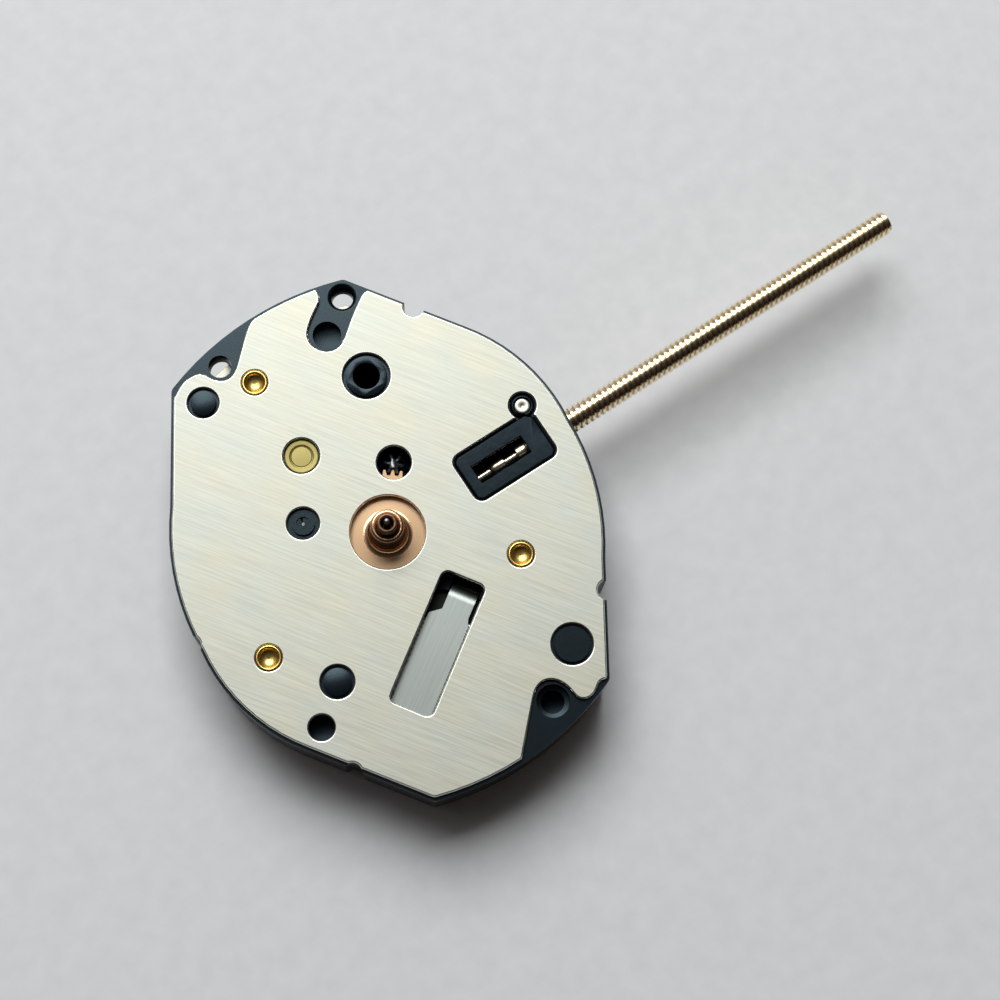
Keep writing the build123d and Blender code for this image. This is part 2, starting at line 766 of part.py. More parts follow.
# Main plate: the moulded base with its pegs, bosses, wells and recesses
with BuildPart() as main_plate:
    with BuildSketch(Plane.XY.offset(plate_under)):
        add(outline.sketch)
        rim_notches()
    extrude(amount=-base_height)

    # Dial side: recesses of the motion works, stepped down towards the cannon
    with BuildSketch(Plane.XY.offset(plate_under)):
        Circle(tip_radius_of(hour_wheel_teeth, hour_module) + pocket_clearance)
    extrude(amount=-hour_recess_depth, mode=Mode.SUBTRACT)
    with BuildSketch(Plane.XY.offset(plate_under)):
        Circle(tip_radius_of(cannon_teeth, motion_module) + wheel_clearance)
        disc_at(minute_wheel_place,
                tip_radius_of(minute_wheel_teeth, motion_module) + wheel_clearance)
        setting_room = tip_radius_of(setting_wheel_teeth, motion_module) + wheel_clearance
        for turned in (0, rocker_swing / 2, rocker_swing):
            place = minute_wheel_place + polar(setting_distance, rocker_rest_turn + turned)
            disc_at(place, setting_room)
        rocker_shape(0, wheel_clearance)
        rocker_shape(rocker_swing, wheel_clearance)
        rocker_shape(rocker_swing / 2, wheel_clearance)
    extrude(amount=-motion_floor_depth, mode=Mode.SUBTRACT)
    with BuildSketch(Plane.XY.offset(motion_floor)):
        for turned in (0, rocker_swing / 2, rocker_swing):
            rocker_shape(turned, wheel_clearance)
    extrude(amount=-rocker_drop, mode=Mode.SUBTRACT)

    # Dial side: trench of the stem, pockets of lever and spring, seat of the insert
    with BuildSketch(Plane.XY.offset(plate_under)):
        with Locations(((trench_start + trench_end) / 2, 0)):
            Rectangle(trench_end - trench_start, 2 * trench_half_width)
    extrude(amount=-trench_depth, mode=Mode.SUBTRACT)
    with BuildSketch(Plane.XY.offset(plate_under)):
        for turned in (0, lever_swing / 4, lever_swing / 2, 3 * lever_swing / 4, lever_swing):
            lever_shape(turned, wheel_clearance)
        disc_at(spring_anchor, spring_anchor_radius + pocket_clearance)
        link(spring_anchor, spring_tip, spring_arm_width + 2 * wheel_clearance)
    extrude(amount=lever_floor - plate_under, mode=Mode.SUBTRACT)
    with BuildSketch(Plane.XY.offset(plate_under)):
        window_shape(-insert_flange_margin - pocket_clearance)
    extrude(amount=-insert_flange_thickness, mode=Mode.SUBTRACT)
    with BuildSketch(Plane.YZ.offset(trench_end - overrun)):
        with Locations((0, stem_height)):
            Circle(stem_thread_radius + stem_bearing_clearance)
    extrude(amount=2 * side_reach - trench_end, mode=Mode.SUBTRACT)

    # Train side: room for the wheels under the web, and the reset lever beside them
    with BuildSketch(Plane.XY.offset(web_back)):
        Circle(tip_radius_of(seconds_teeth, seconds_module) + wheel_clearance)
        disc_at(third_place, tip_radius_of(third_teeth, third_module) + wheel_clearance)
        disc_at(fifth_place, tip_radius_of(fifth_teeth, fifth_module) + wheel_clearance)
        disc_at(rotor_place, rotor_hole_radius + pocket_clearance)
        for turned in (0, -reset_swing / 2, -reset_swing):
            reset_shape(turned, wheel_clearance)
    extrude(amount=-train_depth - overrun, mode=Mode.SUBTRACT)
    with BuildSketch(Plane.XY.offset(stator_front)):
        stator_shape(pocket_clearance)
    extrude(amount=bridge_front - stator_front - overrun, mode=Mode.SUBTRACT)
    with BuildSketch(Plane.XY.offset(stator_back)):
        core_shape(pocket_clearance)
    extrude(amount=bridge_front - stator_back - overrun, mode=Mode.SUBTRACT)
    with BuildSketch(Plane.XY.offset(coil_height + flange_radius + pocket_clearance)):
        coil_window(pocket_clearance)
    extrude(amount=base_back - coil_height - flange_radius - overrun, mode=Mode.SUBTRACT)

    # Back: seat of the bridge, seat of the board, and the shallow pocket of the spacer
    with BuildSketch(Plane.XY.offset(bridge_front)):
        bridge_shape(pocket_clearance)
        bridge_cuts(pocket_clearance)
    extrude(amount=base_back - bridge_front, mode=Mode.SUBTRACT)
    with BuildSketch(Plane.XY.offset(bridge_back)):
        board_shape(pocket_clearance)
    extrude(amount=base_back - bridge_back, mode=Mode.SUBTRACT)
    with BuildSketch(Plane.XY.offset(board_back)):
        drawn_in(rim_wall)
    extrude(amount=base_back - board_back, mode=Mode.SUBTRACT)

    # Well of the battery, with the bed of the contact strip in its roof
    with BuildSketch(Plane.XY.offset(battery_front + strip_gap)):
        disc_at(battery_place, battery_radius + battery_clearance)
    extrude(amount=base_back - battery_front - overrun, mode=Mode.SUBTRACT)
    with BuildSketch(Plane.XY.offset(strip_front)):
        bed_shift = polar((strip_leg_reach - strip_tail) / 2, strip_turn)
        with Locations(Location(strip_place + bed_shift, (0, 0, strip_turn))):
            length = strip_leg_reach + strip_tail + 2 * wheel_clearance
            Rectangle(length, strip_slot_width + 2 * pocket_clearance)
    extrude(amount=battery_front - strip_front, mode=Mode.SUBTRACT)
    with BuildSketch(Plane.XY.offset(strip_front)):
        leg_side = polar(-strip_neck_offset, strip_turn + 90)
        with Locations(Location(strip_leg_place + leg_side, (0, 0, strip_turn))):
            Rectangle(2 * strip_bend_radius + strip_thickness,
                      strip_neck_width + 2 * pocket_clearance)
    extrude(amount=board_back - strip_front, mode=Mode.SUBTRACT)
    with BuildSketch(Plane.XY.offset(plate_under)):
        with Locations(Location(strip_place, (0, 0, strip_turn))):
            Rectangle(strip_slot_length + 2 * pocket_clearance,
                      strip_slot_width + 2 * pocket_clearance)
    extrude(amount=strip_front - plate_under, mode=Mode.SUBTRACT)

    # Bed of the crystal can, with room for its leads
    crystal_height = -crystal_depth - plate_thickness
    with BuildSketch(Plane.XY.offset(crystal_height + crystal_radius + pocket_clearance)):
        room = crystal_length + crystal_lead_run + crystal_lead_radius + 2 * wheel_clearance
        shift = polar((crystal_lead_run + crystal_lead_radius) / 2, crystal_turn)
        with Locations(Location(crystal_place + shift, (0, 0, crystal_turn))):
            Rectangle(room, 2 * (crystal_radius + pocket_clearance))
    extrude(amount=base_back - crystal_height - overrun, mode=Mode.SUBTRACT)

    # Holes for feet, tubes, stud and bush, and the reliefs behind the open feet
    with BuildSketch(Plane.XY.offset(foot_plate_back)):
        foot_reliefs()
    extrude(amount=base_back - foot_plate_back, mode=Mode.SUBTRACT)
    with BuildSketch(Plane.XY.offset(plate_under)):
        disc_at(foot_a_place, foot_radius)
        disc_at(case_hole_place, case_hole_radius)
    extrude(amount=-foot_plate_thickness, mode=Mode.SUBTRACT)
    with BuildSketch(Plane.XY.offset(plate_under)):
        disc_at(foot_b_place, foot_radius)
    extrude(amount=-foot_depth, mode=Mode.SUBTRACT)
    with BuildSketch(Plane.XY.offset(plate_under)):
        disc_at(foot_b_place, foot_b_mouth_radius)
    extrude(amount=-foot_b_mouth_depth, mode=Mode.SUBTRACT)
    with BuildSketch(Plane.XY.offset(plate_under)):
        for place in tube_places:
            disc_at(place, tube_radius)
        disc_at(stud_place, stud_shank_radius)
        disc_at(rotor_place, bush_radius)
    extrude(amount=bridge_front - plate_under, mode=Mode.SUBTRACT)
    with BuildSketch(Plane.XY.offset(plate_under)):
        disc_at(stud_place, stud_radius)
    extrude(amount=-stud_top_drop - stud_head_height - plate_under, mode=Mode.SUBTRACT)
    with BuildSketch(Plane.XY.offset(plate_under)):
        Circle(centre_tube_radius + running_clearance)
    extrude(amount=web_back - plate_under, mode=Mode.SUBTRACT)
    with BuildSketch(Plane.XY.offset(lever_back)):
        disc_at(lever_axle_place, lever_axle_radius)
    extrude(amount=-lever_axle_foot, mode=Mode.SUBTRACT)
    with BuildSketch(Plane.XY.offset(web_back)):
        disc_at(third_place, pivot_radius + running_clearance)
        disc_at(fifth_place, pivot_radius + running_clearance)
    extrude(amount=pivot_length, mode=Mode.SUBTRACT)
    with BuildSketch(Plane.XY.offset(plate_under)):
        drain_place = polar(drain_hole_reach, drain_hole_turn)
        disc_at(drain_place, drain_hole_radius)
    extrude(amount=-drain_hole_depth, mode=Mode.SUBTRACT)
    with BuildSketch(Plane.XY.offset(plate_under)):
        blind_place = polar(blind_hole_reach, blind_hole_turn)
        disc_at(blind_place, blind_hole_radius)
    extrude(amount=-blind_hole_depth, mode=Mode.SUBTRACT)
    mouth = main_plate.edges().filter_by(GeomType.CIRCLE)
    mouth = mouth.sort_by_distance((case_hole_place.X, case_hole_place.Y, plate_under))[:1]
    chamfer(mouth, case_hole_chamfer)

    # Pegs that locate the dial plate, and the ring boss
    peg_places = (
        (polar(peg_a_reach, peg_a_turn), peg_a_radius),
        (polar(peg_b_reach, peg_b_turn), peg_b_radius),
        (polar(peg_c_reach, peg_c_turn), peg_c_radius),
    )
    ring_boss_place = polar(ring_boss_reach, ring_boss_turn)
    with BuildSketch(Plane.XY.offset(plate_under)):
        for place, radius in peg_places:
            disc_at(place, radius)
        disc_at(ring_boss_place, ring_boss_radius)
    extrude(amount=plate_thickness - peg_drop)
    with BuildSketch(Plane.XY):
        disc_at(ring_boss_place, ring_boss_bore)
    extrude(amount=bridge_back, mode=Mode.SUBTRACT)

    # Posts that the minute wheel, the rocker, the spring and the reset lever sit on
    rocker_floor = motion_floor - rocker_drop
    arbor(minute_wheel_place, rocker_floor, rocker_floor + rocker_drop + running_clearance,
          minute_post_boss_radius)
    arbor(minute_wheel_place, rocker_floor, minute_post_top, minute_post_radius)
    arbor(spring_anchor, lever_floor, lever_floor + spring_thickness, spring_post_radius)
    arbor(reset_pivot_place, web_back, reset_front + running_clearance, reset_boss_radius)
    arbor(reset_pivot_place, web_back, bridge_front, reset_pivot_radius)

main_plate.part.label = "main_plate"
export_step(main_plate.part, "parts/main_plate.step")


# Dial plate: thin metal plate over the base, with its cuts, holes, slot and window
with BuildPart() as dial_plate:
    with BuildSketch(Plane.XY.offset(plate_under)) as plate_sketch:
        drawn_in(plate_inset)
        rim_notches()
        for cut_places in (key_cut_places, wedge_cut_places, low_cut_places):
            points = [polar(crown_reach * share, turn) for share, turn in cut_places]
            with BuildLine():
                Spline(*points[1:-1])
                Polyline(points[1], points[0], points[-1], points[-2])
            make_face(mode=Mode.SUBTRACT)
        disc_at(hand_axis, hand_hole_radius, Mode.SUBTRACT)
        for place in tube_places:
            disc_at(place, tube_radius + running_clearance, Mode.SUBTRACT)
        disc_at(stud_place, stud_radius + stud_ring_gap, Mode.SUBTRACT)
        disc_at(rotor_place, bush_hole_radius, Mode.SUBTRACT)
        disc_at(minute_wheel_place, minute_hole_radius, Mode.SUBTRACT)
        disc_at(ring_boss_place, ring_boss_radius + plate_hole_clearance, Mode.SUBTRACT)
        for place, radius in peg_places:
            disc_at(place, radius + plate_hole_clearance, Mode.SUBTRACT)
        disc_at(drain_place, drain_hole_radius, Mode.SUBTRACT)
        with Locations(Location(strip_place, (0, 0, strip_turn))):
            slot_length = strip_slot_length
            RectangleRounded(slot_length, strip_slot_width, strip_slot_radius, mode=Mode.SUBTRACT)
        width = window_right - window_left
        height = window_high - window_low
        with Locations(((window_left + window_right) / 2, (window_low + window_high) / 2)):
            RectangleRounded(width, height, window_radius, mode=Mode.SUBTRACT)
        disc_at(lever_axle_place, window_ear_radius, Mode.SUBTRACT)
    extrude(amount=plate_thickness)

dial_plate.part.label = "dial_plate"
export_step(dial_plate.part, "parts/dial_plate.step")


# Insert of the stem window: plastic frame with a lip under the plate
with BuildPart() as window_insert:
    with BuildSketch(Plane.XY.offset(plate_under)):
        window_shape(-insert_flange_margin)
    extrude(amount=-insert_flange_thickness)
    with BuildSketch(Plane.XY.offset(plate_under)):
        window_shape(insert_gap)
    extrude(amount=plate_thickness - insert_drop - insert_bevel)
    with BuildSketch(Plane.XY.offset(-insert_drop - insert_bevel)):
        window_shape(insert_gap + insert_bevel / 2)
    extrude(amount=insert_bevel)
    with BuildSketch(Plane.XY.offset(plate_under - insert_flange_thickness)):
        opening_shape()
        bore_radius = lever_axle_radius + running_clearance
        disc_at(lever_axle_place, bore_radius)
    extrude(amount=movement_height, mode=Mode.SUBTRACT)

window_insert.part.label = "window_insert"
export_step(window_insert.part, "parts/window_insert.step")


# Brass tubes: threaded posts that the screws of the back pull on
with BuildPart() as tube_top_post:
    arbor(tube_top, stator_front, 0, tube_radius)
    bore(tube_top, stator_front, 0, tube_bore_radius)
    tube_mouth(tube_top)

tube_top_post.part.label = "tube_top_post"
export_step(tube_top_post.part, "parts/tube_top_post.step")

with BuildPart() as tube_stem_post:
    arbor(tube_stem, bridge_front, 0, tube_radius)
    bore(tube_stem, bridge_front, 0, tube_bore_radius)
    tube_mouth(tube_stem)

tube_stem_post.part.label = "tube_stem_post"
export_step(tube_stem_post.part, "parts/tube_stem_post.step")

with BuildPart() as tube_left_post:
    arbor(tube_left, stator_front, 0, tube_radius)
    bore(tube_left, stator_front, 0, tube_bore_radius)
    tube_mouth(tube_left)

tube_left_post.part.label = "tube_left_post"
export_step(tube_left_post.part, "parts/tube_left_post.step")


# Rotor bush: plastic bearing of the rotor, with an oil dish round the pivot
with BuildPart() as rotor_bush:
    arbor(rotor_place, web_back, -bush_drop, bush_radius)
    bore(rotor_place, -bush_drop - bush_dish_depth, -bush_drop, bush_dish_radius)
    bore(rotor_place, web_back, -bush_drop, pivot_radius + running_clearance)

rotor_bush.part.label = "rotor_bush"
export_step(rotor_bush.part, "parts/rotor_bush.step")


# Stud of the bridge: pale brass head with a turned groove, shank down to the bridge
with BuildPart() as bridge_stud:
    stud_top = -stud_top_drop
    arbor(stud_place, stud_top - stud_head_height, stud_top, stud_radius)
    arbor(stud_place, bridge_front, stud_top - stud_head_height, stud_shank_radius)
    bore(stud_place, stud_top - stud_groove, stud_top, stud_ring_radius)
    arbor(stud_place, stud_top - stud_groove, stud_top, stud_ring_radius - stud_groove)

bridge_stud.part.label = "bridge_stud"
export_step(bridge_stud.part, "parts/bridge_stud.step")


# Lever axle: steel pin that the setting lever swings on
with BuildPart() as lever_axle:
    arbor(lever_axle_place, lever_back - lever_axle_foot, -lever_axle_drop, lever_axle_radius)
    tops = lever_axle.faces().sort_by(Axis.Z)[-1].edges()
    chamfer(tops, lever_axle_drop / 2)

lever_axle.part.label = "lever_axle"
export_step(lever_axle.part, "parts/lever_axle.step")


# Battery: can, seal and cap, with the cap towards the dial
with BuildPart() as battery_can:
    can_front = battery_front - battery_shoulder
    arbor(battery_place, -movement_height, can_front, battery_radius)
    rims = battery_can.edges().filter_by(GeomType.CIRCLE)
    fillet(rims, battery_crimp_radius)

battery_can.part.label = "battery_can"
export_step(battery_can.part, "parts/battery_can.step")

with BuildPart() as battery_seal:
    arbor(battery_place, can_front, can_front + battery_shoulder / 3,
          battery_cap_radius + battery_seal_width)
    bore(battery_place, can_front, battery_front, battery_cap_radius)

battery_seal.part.label = "battery_seal"
export_step(battery_seal.part, "parts/battery_seal.step")

with BuildPart() as battery_cap:
    arbor(battery_place, can_front, battery_front, battery_cap_radius)
    cap_edge = battery_cap.faces().sort_by(Axis.Z)[-1].edges()
    fillet(cap_edge, battery_shoulder / 3)

battery_cap.part.label = "battery_cap"
export_step(battery_cap.part, "parts/battery_cap.step")


# Contact strip: flat spring over the cap, necked and bent down to the circuit board
with BuildPart() as contact_strip:
    strip_plane = Plane(origin=(strip_place.X, strip_place.Y, strip_front),
                        x_dir=(cos(radians(strip_turn)), sin(radians(strip_turn)), 0),
                        z_dir=(0, 0, 1))
    half_width = strip_slot_width / 2 - insert_gap
    neck_low = -strip_neck_offset - strip_neck_width / 2
    neck_high = -strip_neck_offset + strip_neck_width / 2
    with BuildSketch(strip_plane):
        Polygon(
            (-strip_tail, -half_width),
            (strip_neck_start, -half_width),
            (strip_neck_start + strip_taper, neck_low),
            (strip_bend_start, neck_low),
            (strip_bend_start, neck_high),
            (strip_neck_start + strip_taper, neck_high),
            (strip_neck_start, half_width),
            (-strip_tail, half_width),
            align=None,
        )
    extrude(amount=-strip_thickness)
    bend_plane = Plane(origin=strip_plane.from_local_coords(Vector(0, neck_high)),
                       x_dir=strip_plane.x_dir, z_dir=-strip_plane.y_dir)
    outer = strip_bend_radius + strip_thickness
    with BuildSketch(bend_plane):
        with BuildLine():
            start = (strip_bend_start, 0)
            turned = (strip_bend_start + outer, -outer)
            RadiusArc(start, turned, outer)
            foot = board_front - strip_front
            Polyline(turned, (turned[0], foot), (turned[0] - strip_thickness, foot),
                     (turned[0] - strip_thickness, -outer))
            inner_end = (strip_bend_start, -strip_thickness)
            RadiusArc((turned[0] - strip_thickness, -outer), inner_end, -strip_bend_radius)
            Line(inner_end, start)
        make_face()
    extrude(amount=strip_neck_width)

contact_strip.part.label = "contact_strip"
export_step(contact_strip.part, "parts/contact_strip.step")


# Rotor: magnet and pinion on one arbor
with BuildPart() as rotor_magnet:
    magnet_front = web_back - magnet_drop
    arbor(rotor_place, magnet_front - magnet_height, magnet_front, magnet_radius)
    bore(rotor_place, magnet_front - magnet_height, magnet_front, arbor_radius)

rotor_magnet.part.label = "rotor_magnet"
export_step(rotor_magnet.part, "parts/rotor_magnet.step")

with BuildPart() as rotor_pinion:
    rotor_top = -bush_drop - bush_dish_depth
    magnet_back = magnet_front - magnet_height
    fifth_front = web_back - fifth_wheel_drop
    fifth_back = fifth_front - train_wheel_thickness
    rotor_pinion_back = fifth_back - pinion_overhang
    with BuildSketch(Plane.XY.offset(magnet_back)):
        gear_teeth(rotor_place, rotor_pinion_teeth, fifth_module, rotor_phase)
    extrude(amount=rotor_pinion_back - magnet_back)
    arbor(rotor_place, magnet_back, magnet_front, arbor_radius)
    arbor(rotor_place, magnet_front, rotor_top, pivot_radius)
    arbor(rotor_place, rotor_pinion_back, bridge_front - pivot_length, pivot_radius)

rotor_pinion.part.label = "rotor_pinion"
export_step(rotor_pinion.part, "parts/rotor_pinion.step")


# Fifth wheel and its pinion, driven by the rotor
with BuildPart() as fifth_wheel:
    with BuildSketch(Plane.XY.offset(fifth_front)):
        gear_teeth(fifth_place, fifth_teeth, fifth_module, rotor_direction)
        crossings(fifth_place, fifth_teeth, fifth_module, 4)
        disc_at(fifth_place, arbor_radius, Mode.SUBTRACT)
    extrude(amount=-train_wheel_thickness)

fifth_wheel.part.label = "fifth_wheel"
export_step(fifth_wheel.part, "parts/fifth_wheel.step")

with BuildPart() as fifth_pinion:
    seconds_front = web_back - seconds_wheel_drop
    seconds_back = seconds_front - train_wheel_thickness
    with BuildSketch(Plane.XY.offset(fifth_front)):
        gear_teeth(fifth_place, fifth_pinion_teeth, seconds_module, fifth_pinion_phase)
    extrude(amount=seconds_front + pinion_overhang - fifth_front)
    arbor(fifth_place, seconds_front + pinion_overhang, web_back, arbor_radius)
    arbor(fifth_place, web_back, web_back + pivot_length - running_clearance, pivot_radius)
    arbor(fifth_place, fifth_front, fifth_back - pinion_overhang, arbor_radius)
    arbor(fifth_place, fifth_back - pinion_overhang, bridge_front - pivot_length, pivot_radius)

fifth_pinion.part.label = "fifth_pinion"
export_step(fifth_pinion.part, "parts/fifth_pinion.step")


# Seconds wheel, with the long arbor that carries the seconds hand
with BuildPart() as seconds_wheel:
    with BuildSketch(Plane.XY.offset(seconds_front)):
        gear_teeth(hand_axis, seconds_teeth, seconds_module, fifth_turn)
        crossings(hand_axis, seconds_teeth, seconds_module, 4)
        disc_at(hand_axis, arbor_radius, Mode.SUBTRACT)
    extrude(amount=-train_wheel_thickness)

seconds_wheel.part.label = "seconds_wheel"
export_step(seconds_wheel.part, "parts/seconds_wheel.step")

with BuildPart() as seconds_arbor:
    third_front = web_back - third_wheel_drop
    third_back = third_front - train_wheel_thickness
    with BuildSketch(Plane.XY.offset(seconds_front)):
        gear_teeth(hand_axis, seconds_pinion_teeth, third_module, train_turn)
    extrude(amount=third_front + pinion_overhang - seconds_front)
    seconds_seat = cannon_top + hand_seat_gap
    seconds_taper = seconds_seat - hand_seat_taper
    arbor(hand_axis, seconds_front, seconds_taper, seconds_post_radius + hand_seat_step)
    tapered(hand_axis, seconds_taper, seconds_seat, seconds_post_radius + hand_seat_step,
            seconds_post_radius)
    arbor(hand_axis, seconds_seat, seconds_post_top, seconds_post_radius)
    arbor(hand_axis, seconds_back, seconds_front, arbor_radius)
    arbor(hand_axis, seconds_back, bridge_front + pinion_overhang, arbor_radius)
    arbor(hand_axis, bridge_front + pinion_overhang, bridge_front - pivot_length, pivot_radius)
    post_edge = seconds_arbor.faces().sort_by(Axis.Z)[-1].edges()
    chamfer(post_edge, running_clearance)

seconds_arbor.part.label = "seconds_arbor"
export_step(seconds_arbor.part, "parts/seconds_arbor.step")


# Third wheel and its pinion, between the seconds wheel and the centre wheel
with BuildPart() as third_wheel:
    with BuildSketch(Plane.XY.offset(third_front)):
        gear_teeth(third_place, third_teeth, third_module, third_phase)
        crossings(third_place, third_teeth, third_module, 5)
        disc_at(third_place, arbor_radius, Mode.SUBTRACT)
    extrude(amount=-train_wheel_thickness)

third_wheel.part.label = "third_wheel"
export_step(third_wheel.part, "parts/third_wheel.step")

with BuildPart() as third_pinion:
    centre_front = web_back - centre_wheel_drop
    centre_back = centre_front - train_wheel_thickness
    with BuildSketch(Plane.XY.offset(third_front)):
        gear_teeth(third_place, third_pinion_teeth, centre_module, third_pinion_phase)
    extrude(amount=centre_front + pinion_overhang - third_front)
    arbor(third_place, centre_front + pinion_overhang,
          web_back + pivot_length - running_clearance, pivot_radius)
    arbor(third_place, third_front, bridge_front + pinion_overhang, arbor_radius)
    arbor(third_place, bridge_front + pinion_overhang, bridge_front - pivot_length, pivot_radius)

third_pinion.part.label = "third_pinion"
export_step(third_pinion.part, "parts/third_pinion.step")


# Centre wheel, with the tube that carries the cannon pinion
with BuildPart() as centre_wheel:
    with BuildSketch(Plane.XY.offset(centre_front)):
        gear_teeth(hand_axis, centre_teeth, centre_module, train_turn)
        crossings(hand_axis, centre_teeth, centre_module, 5)
    extrude(amount=-train_wheel_thickness)
    arbor(hand_axis, centre_front, centre_tube_top, centre_tube_radius)
    bore(hand_axis, centre_back, centre_tube_top,
         seconds_post_radius + hand_seat_step + running_clearance)

centre_wheel.part.label = "centre_wheel"
export_step(centre_wheel.part, "parts/centre_wheel.step")


# Cannon pinion: teeth in the recess, pipe up to the minute hand
with BuildPart() as cannon_pinion:
    cannon_back = motion_wheel_back - running_clearance
    with BuildSketch(Plane.XY.offset(cannon_back)):
        gear_teeth(hand_axis, cannon_teeth, motion_module, motion_turn)
    extrude(amount=cannon_width)
    minute_seat = hour_pipe_top + hand_seat_gap
    minute_taper = minute_seat - hand_seat_taper
    arbor(hand_axis, cannon_back, minute_taper, cannon_radius + hand_seat_step)
    tapered(hand_axis, minute_taper, minute_seat, cannon_radius + hand_seat_step, cannon_radius)
    arbor(hand_axis, minute_seat, cannon_top, cannon_radius)
    bore(hand_axis, cannon_back, cannon_top, centre_tube_radius + running_clearance)
    chamfer(cannon_pinion.faces().sort_by(Axis.Z)[-1].edges(), pipe_chamfer / 2)

cannon_pinion.part.label = "cannon_pinion"
export_step(cannon_pinion.part, "parts/cannon_pinion.step")


# Minute wheel with its six leaves, turning on the post of the base
with BuildPart() as minute_wheel:
    with BuildSketch(Plane.XY.offset(motion_wheel_back)):
        gear_teeth(minute_wheel_place, minute_wheel_teeth, motion_module, minute_phase)
    extrude(amount=motion_wheel_thickness)
    with BuildSketch(Plane.XY.offset(motion_wheel_front)):
        gear_teeth(minute_wheel_place, minute_pinion_teeth, hour_module, minute_pinion_phase)
    extrude(amount=minute_pinion_top - motion_wheel_front)
    bore(minute_wheel_place, motion_wheel_back, minute_post_top + running_clearance,
         minute_post_radius + running_clearance)

minute_wheel.part.label = "minute_wheel"
export_step(minute_wheel.part, "parts/minute_wheel.step")


# Hour wheel: thin toothed disc with a polished fillet up to the hour pipe
with BuildPart() as hour_wheel:
    with BuildSketch(Plane.XY.offset(hour_wheel_back)):
        gear_teeth(hand_axis, hour_wheel_teeth, hour_module, hour_wheel_phase)
    extrude(amount=motion_wheel_thickness)
    arbor(hand_axis, hour_wheel_front, hour_pipe_top, hour_pipe_radius)
    circles = hour_wheel.edges().filter_by(GeomType.CIRCLE)
    fillet(circles.filter_by_position(Axis.Z, hour_wheel_front, hour_wheel_front),
           hour_pipe_fillet)
    bore(hand_axis, hour_wheel_back, hour_pipe_top,
         cannon_radius + hand_seat_step + running_clearance)
    mouths = hour_wheel.faces().sort_by(Axis.Z)[-1].edges()
    chamfer(mouths, pipe_chamfer)

hour_wheel.part.label = "hour_wheel"
export_step(hour_wheel.part, "parts/hour_wheel.step")


# Winding stem: threaded rod, groove for the lever, collar, block and square pilot
with BuildPart() as winding_stem:
    stem_sections = (
        (block_start, neck_start, block_radius),
        (neck_start, collar_start, neck_radius),
        (collar_start, groove_start, collar_radius),
        (groove_start, groove_end, groove_radius),
        (groove_end, thread_runout_start, stem_thread_radius),
        (thread_runout_end, stem_tip, stem_thread_radius),
    )
    for start, end, radius in stem_sections:
        with BuildSketch(Plane.YZ.offset(start)):
            with Locations((0, stem_height)):
                Circle(radius)
        extrude(amount=end - start)
    runout_low = (thread_runout_start
                  + thread_runout_share * (thread_runout_end - thread_runout_start))
    for start, end, start_radius, end_radius in (
            (thread_runout_start, runout_low, stem_thread_radius, thread_runout_radius),
            (runout_low, thread_runout_end, thread_runout_radius, stem_thread_radius)):
        with Locations(Location((start, 0, stem_height), (0, 90, 0))):
            Cone(start_radius, end_radius, end - start,
                 align=(Align.CENTER, Align.CENTER, Align.MIN))
    chamfer(winding_stem.faces().sort_by(Axis.X)[-1].edges(), stem_tip_chamfer)
    with BuildSketch(Plane.YZ.offset(stem_inner_end)):
        with Locations((0, stem_height)):
            Rectangle(pilot_width, pilot_width)
    extrude(amount=block_start - stem_inner_end)

winding_stem.part.label = "winding_stem"
export_step(winding_stem.part, "parts/winding_stem.step")


# Clutch wheel: face teeth inwards, groove round it, square hole for the pilot
with BuildPart() as clutch_wheel:
    with BuildSketch(Plane.YZ.offset(clutch_start)):
        with Locations((0, stem_height)):
            Circle(clutch_radius)
    extrude(amount=clutch_length)
    tooth_pitch = 2 * pi * clutch_radius / clutch_teeth
    for tooth in range(clutch_teeth):
        turn = tooth * 360 / clutch_teeth
        side = clutch_radius * cos(radians(turn))
        rise = clutch_radius * sin(radians(turn))
        with Locations(Location((clutch_start, side, stem_height + rise), (turn, 0, 0))):
            Box(2 * clutch_tooth_depth, clutch_radius, tooth_pitch / 2, mode=Mode.SUBTRACT)
    with BuildSketch(Plane.YZ.offset(clutch_start + clutch_length / 2)):
        with Locations((0, stem_height)):
            Circle(clutch_radius)
            Circle(clutch_groove_radius, mode=Mode.SUBTRACT)
    extrude(amount=clutch_groove_width, mode=Mode.SUBTRACT)
    with BuildSketch(Plane.YZ.offset(clutch_start)):
        with Locations((0, stem_height)):
            hole_width = pilot_width + 2 * running_clearance
            Rectangle(hole_width, hole_width)
    extrude(amount=clutch_length, mode=Mode.SUBTRACT)

clutch_wheel.part.label = "clutch_wheel"
export_step(clutch_wheel.part, "parts/clutch_wheel.step")


# Setting lever: its finger sits in the groove of the stem
with BuildPart() as setting_lever:
    with BuildSketch(Plane.XY.offset(lever_back)):
        lever_shape(0, 0)
        disc_at(lever_axle_place, lever_axle_radius + running_clearance, Mode.SUBTRACT)
    extrude(amount=lever_thickness)

setting_lever.part.label = "setting_lever"
export_step(setting_lever.part, "parts/setting_lever.step")


# Lever spring: fixed eye with an arm that rests beside the tail of the lever
with BuildPart() as lever_spring:
    with BuildSketch(Plane.XY.offset(lever_floor)):
        disc_at(spring_anchor, spring_anchor_radius)
        link(spring_anchor, spring_tip, spring_arm_width)
        disc_at(spring_anchor, spring_post_radius, Mode.SUBTRACT)
    extrude(amount=spring_thickness)

lever_spring.part.label = "lever_spring"
export_step(lever_spring.part, "parts/lever_spring.step")


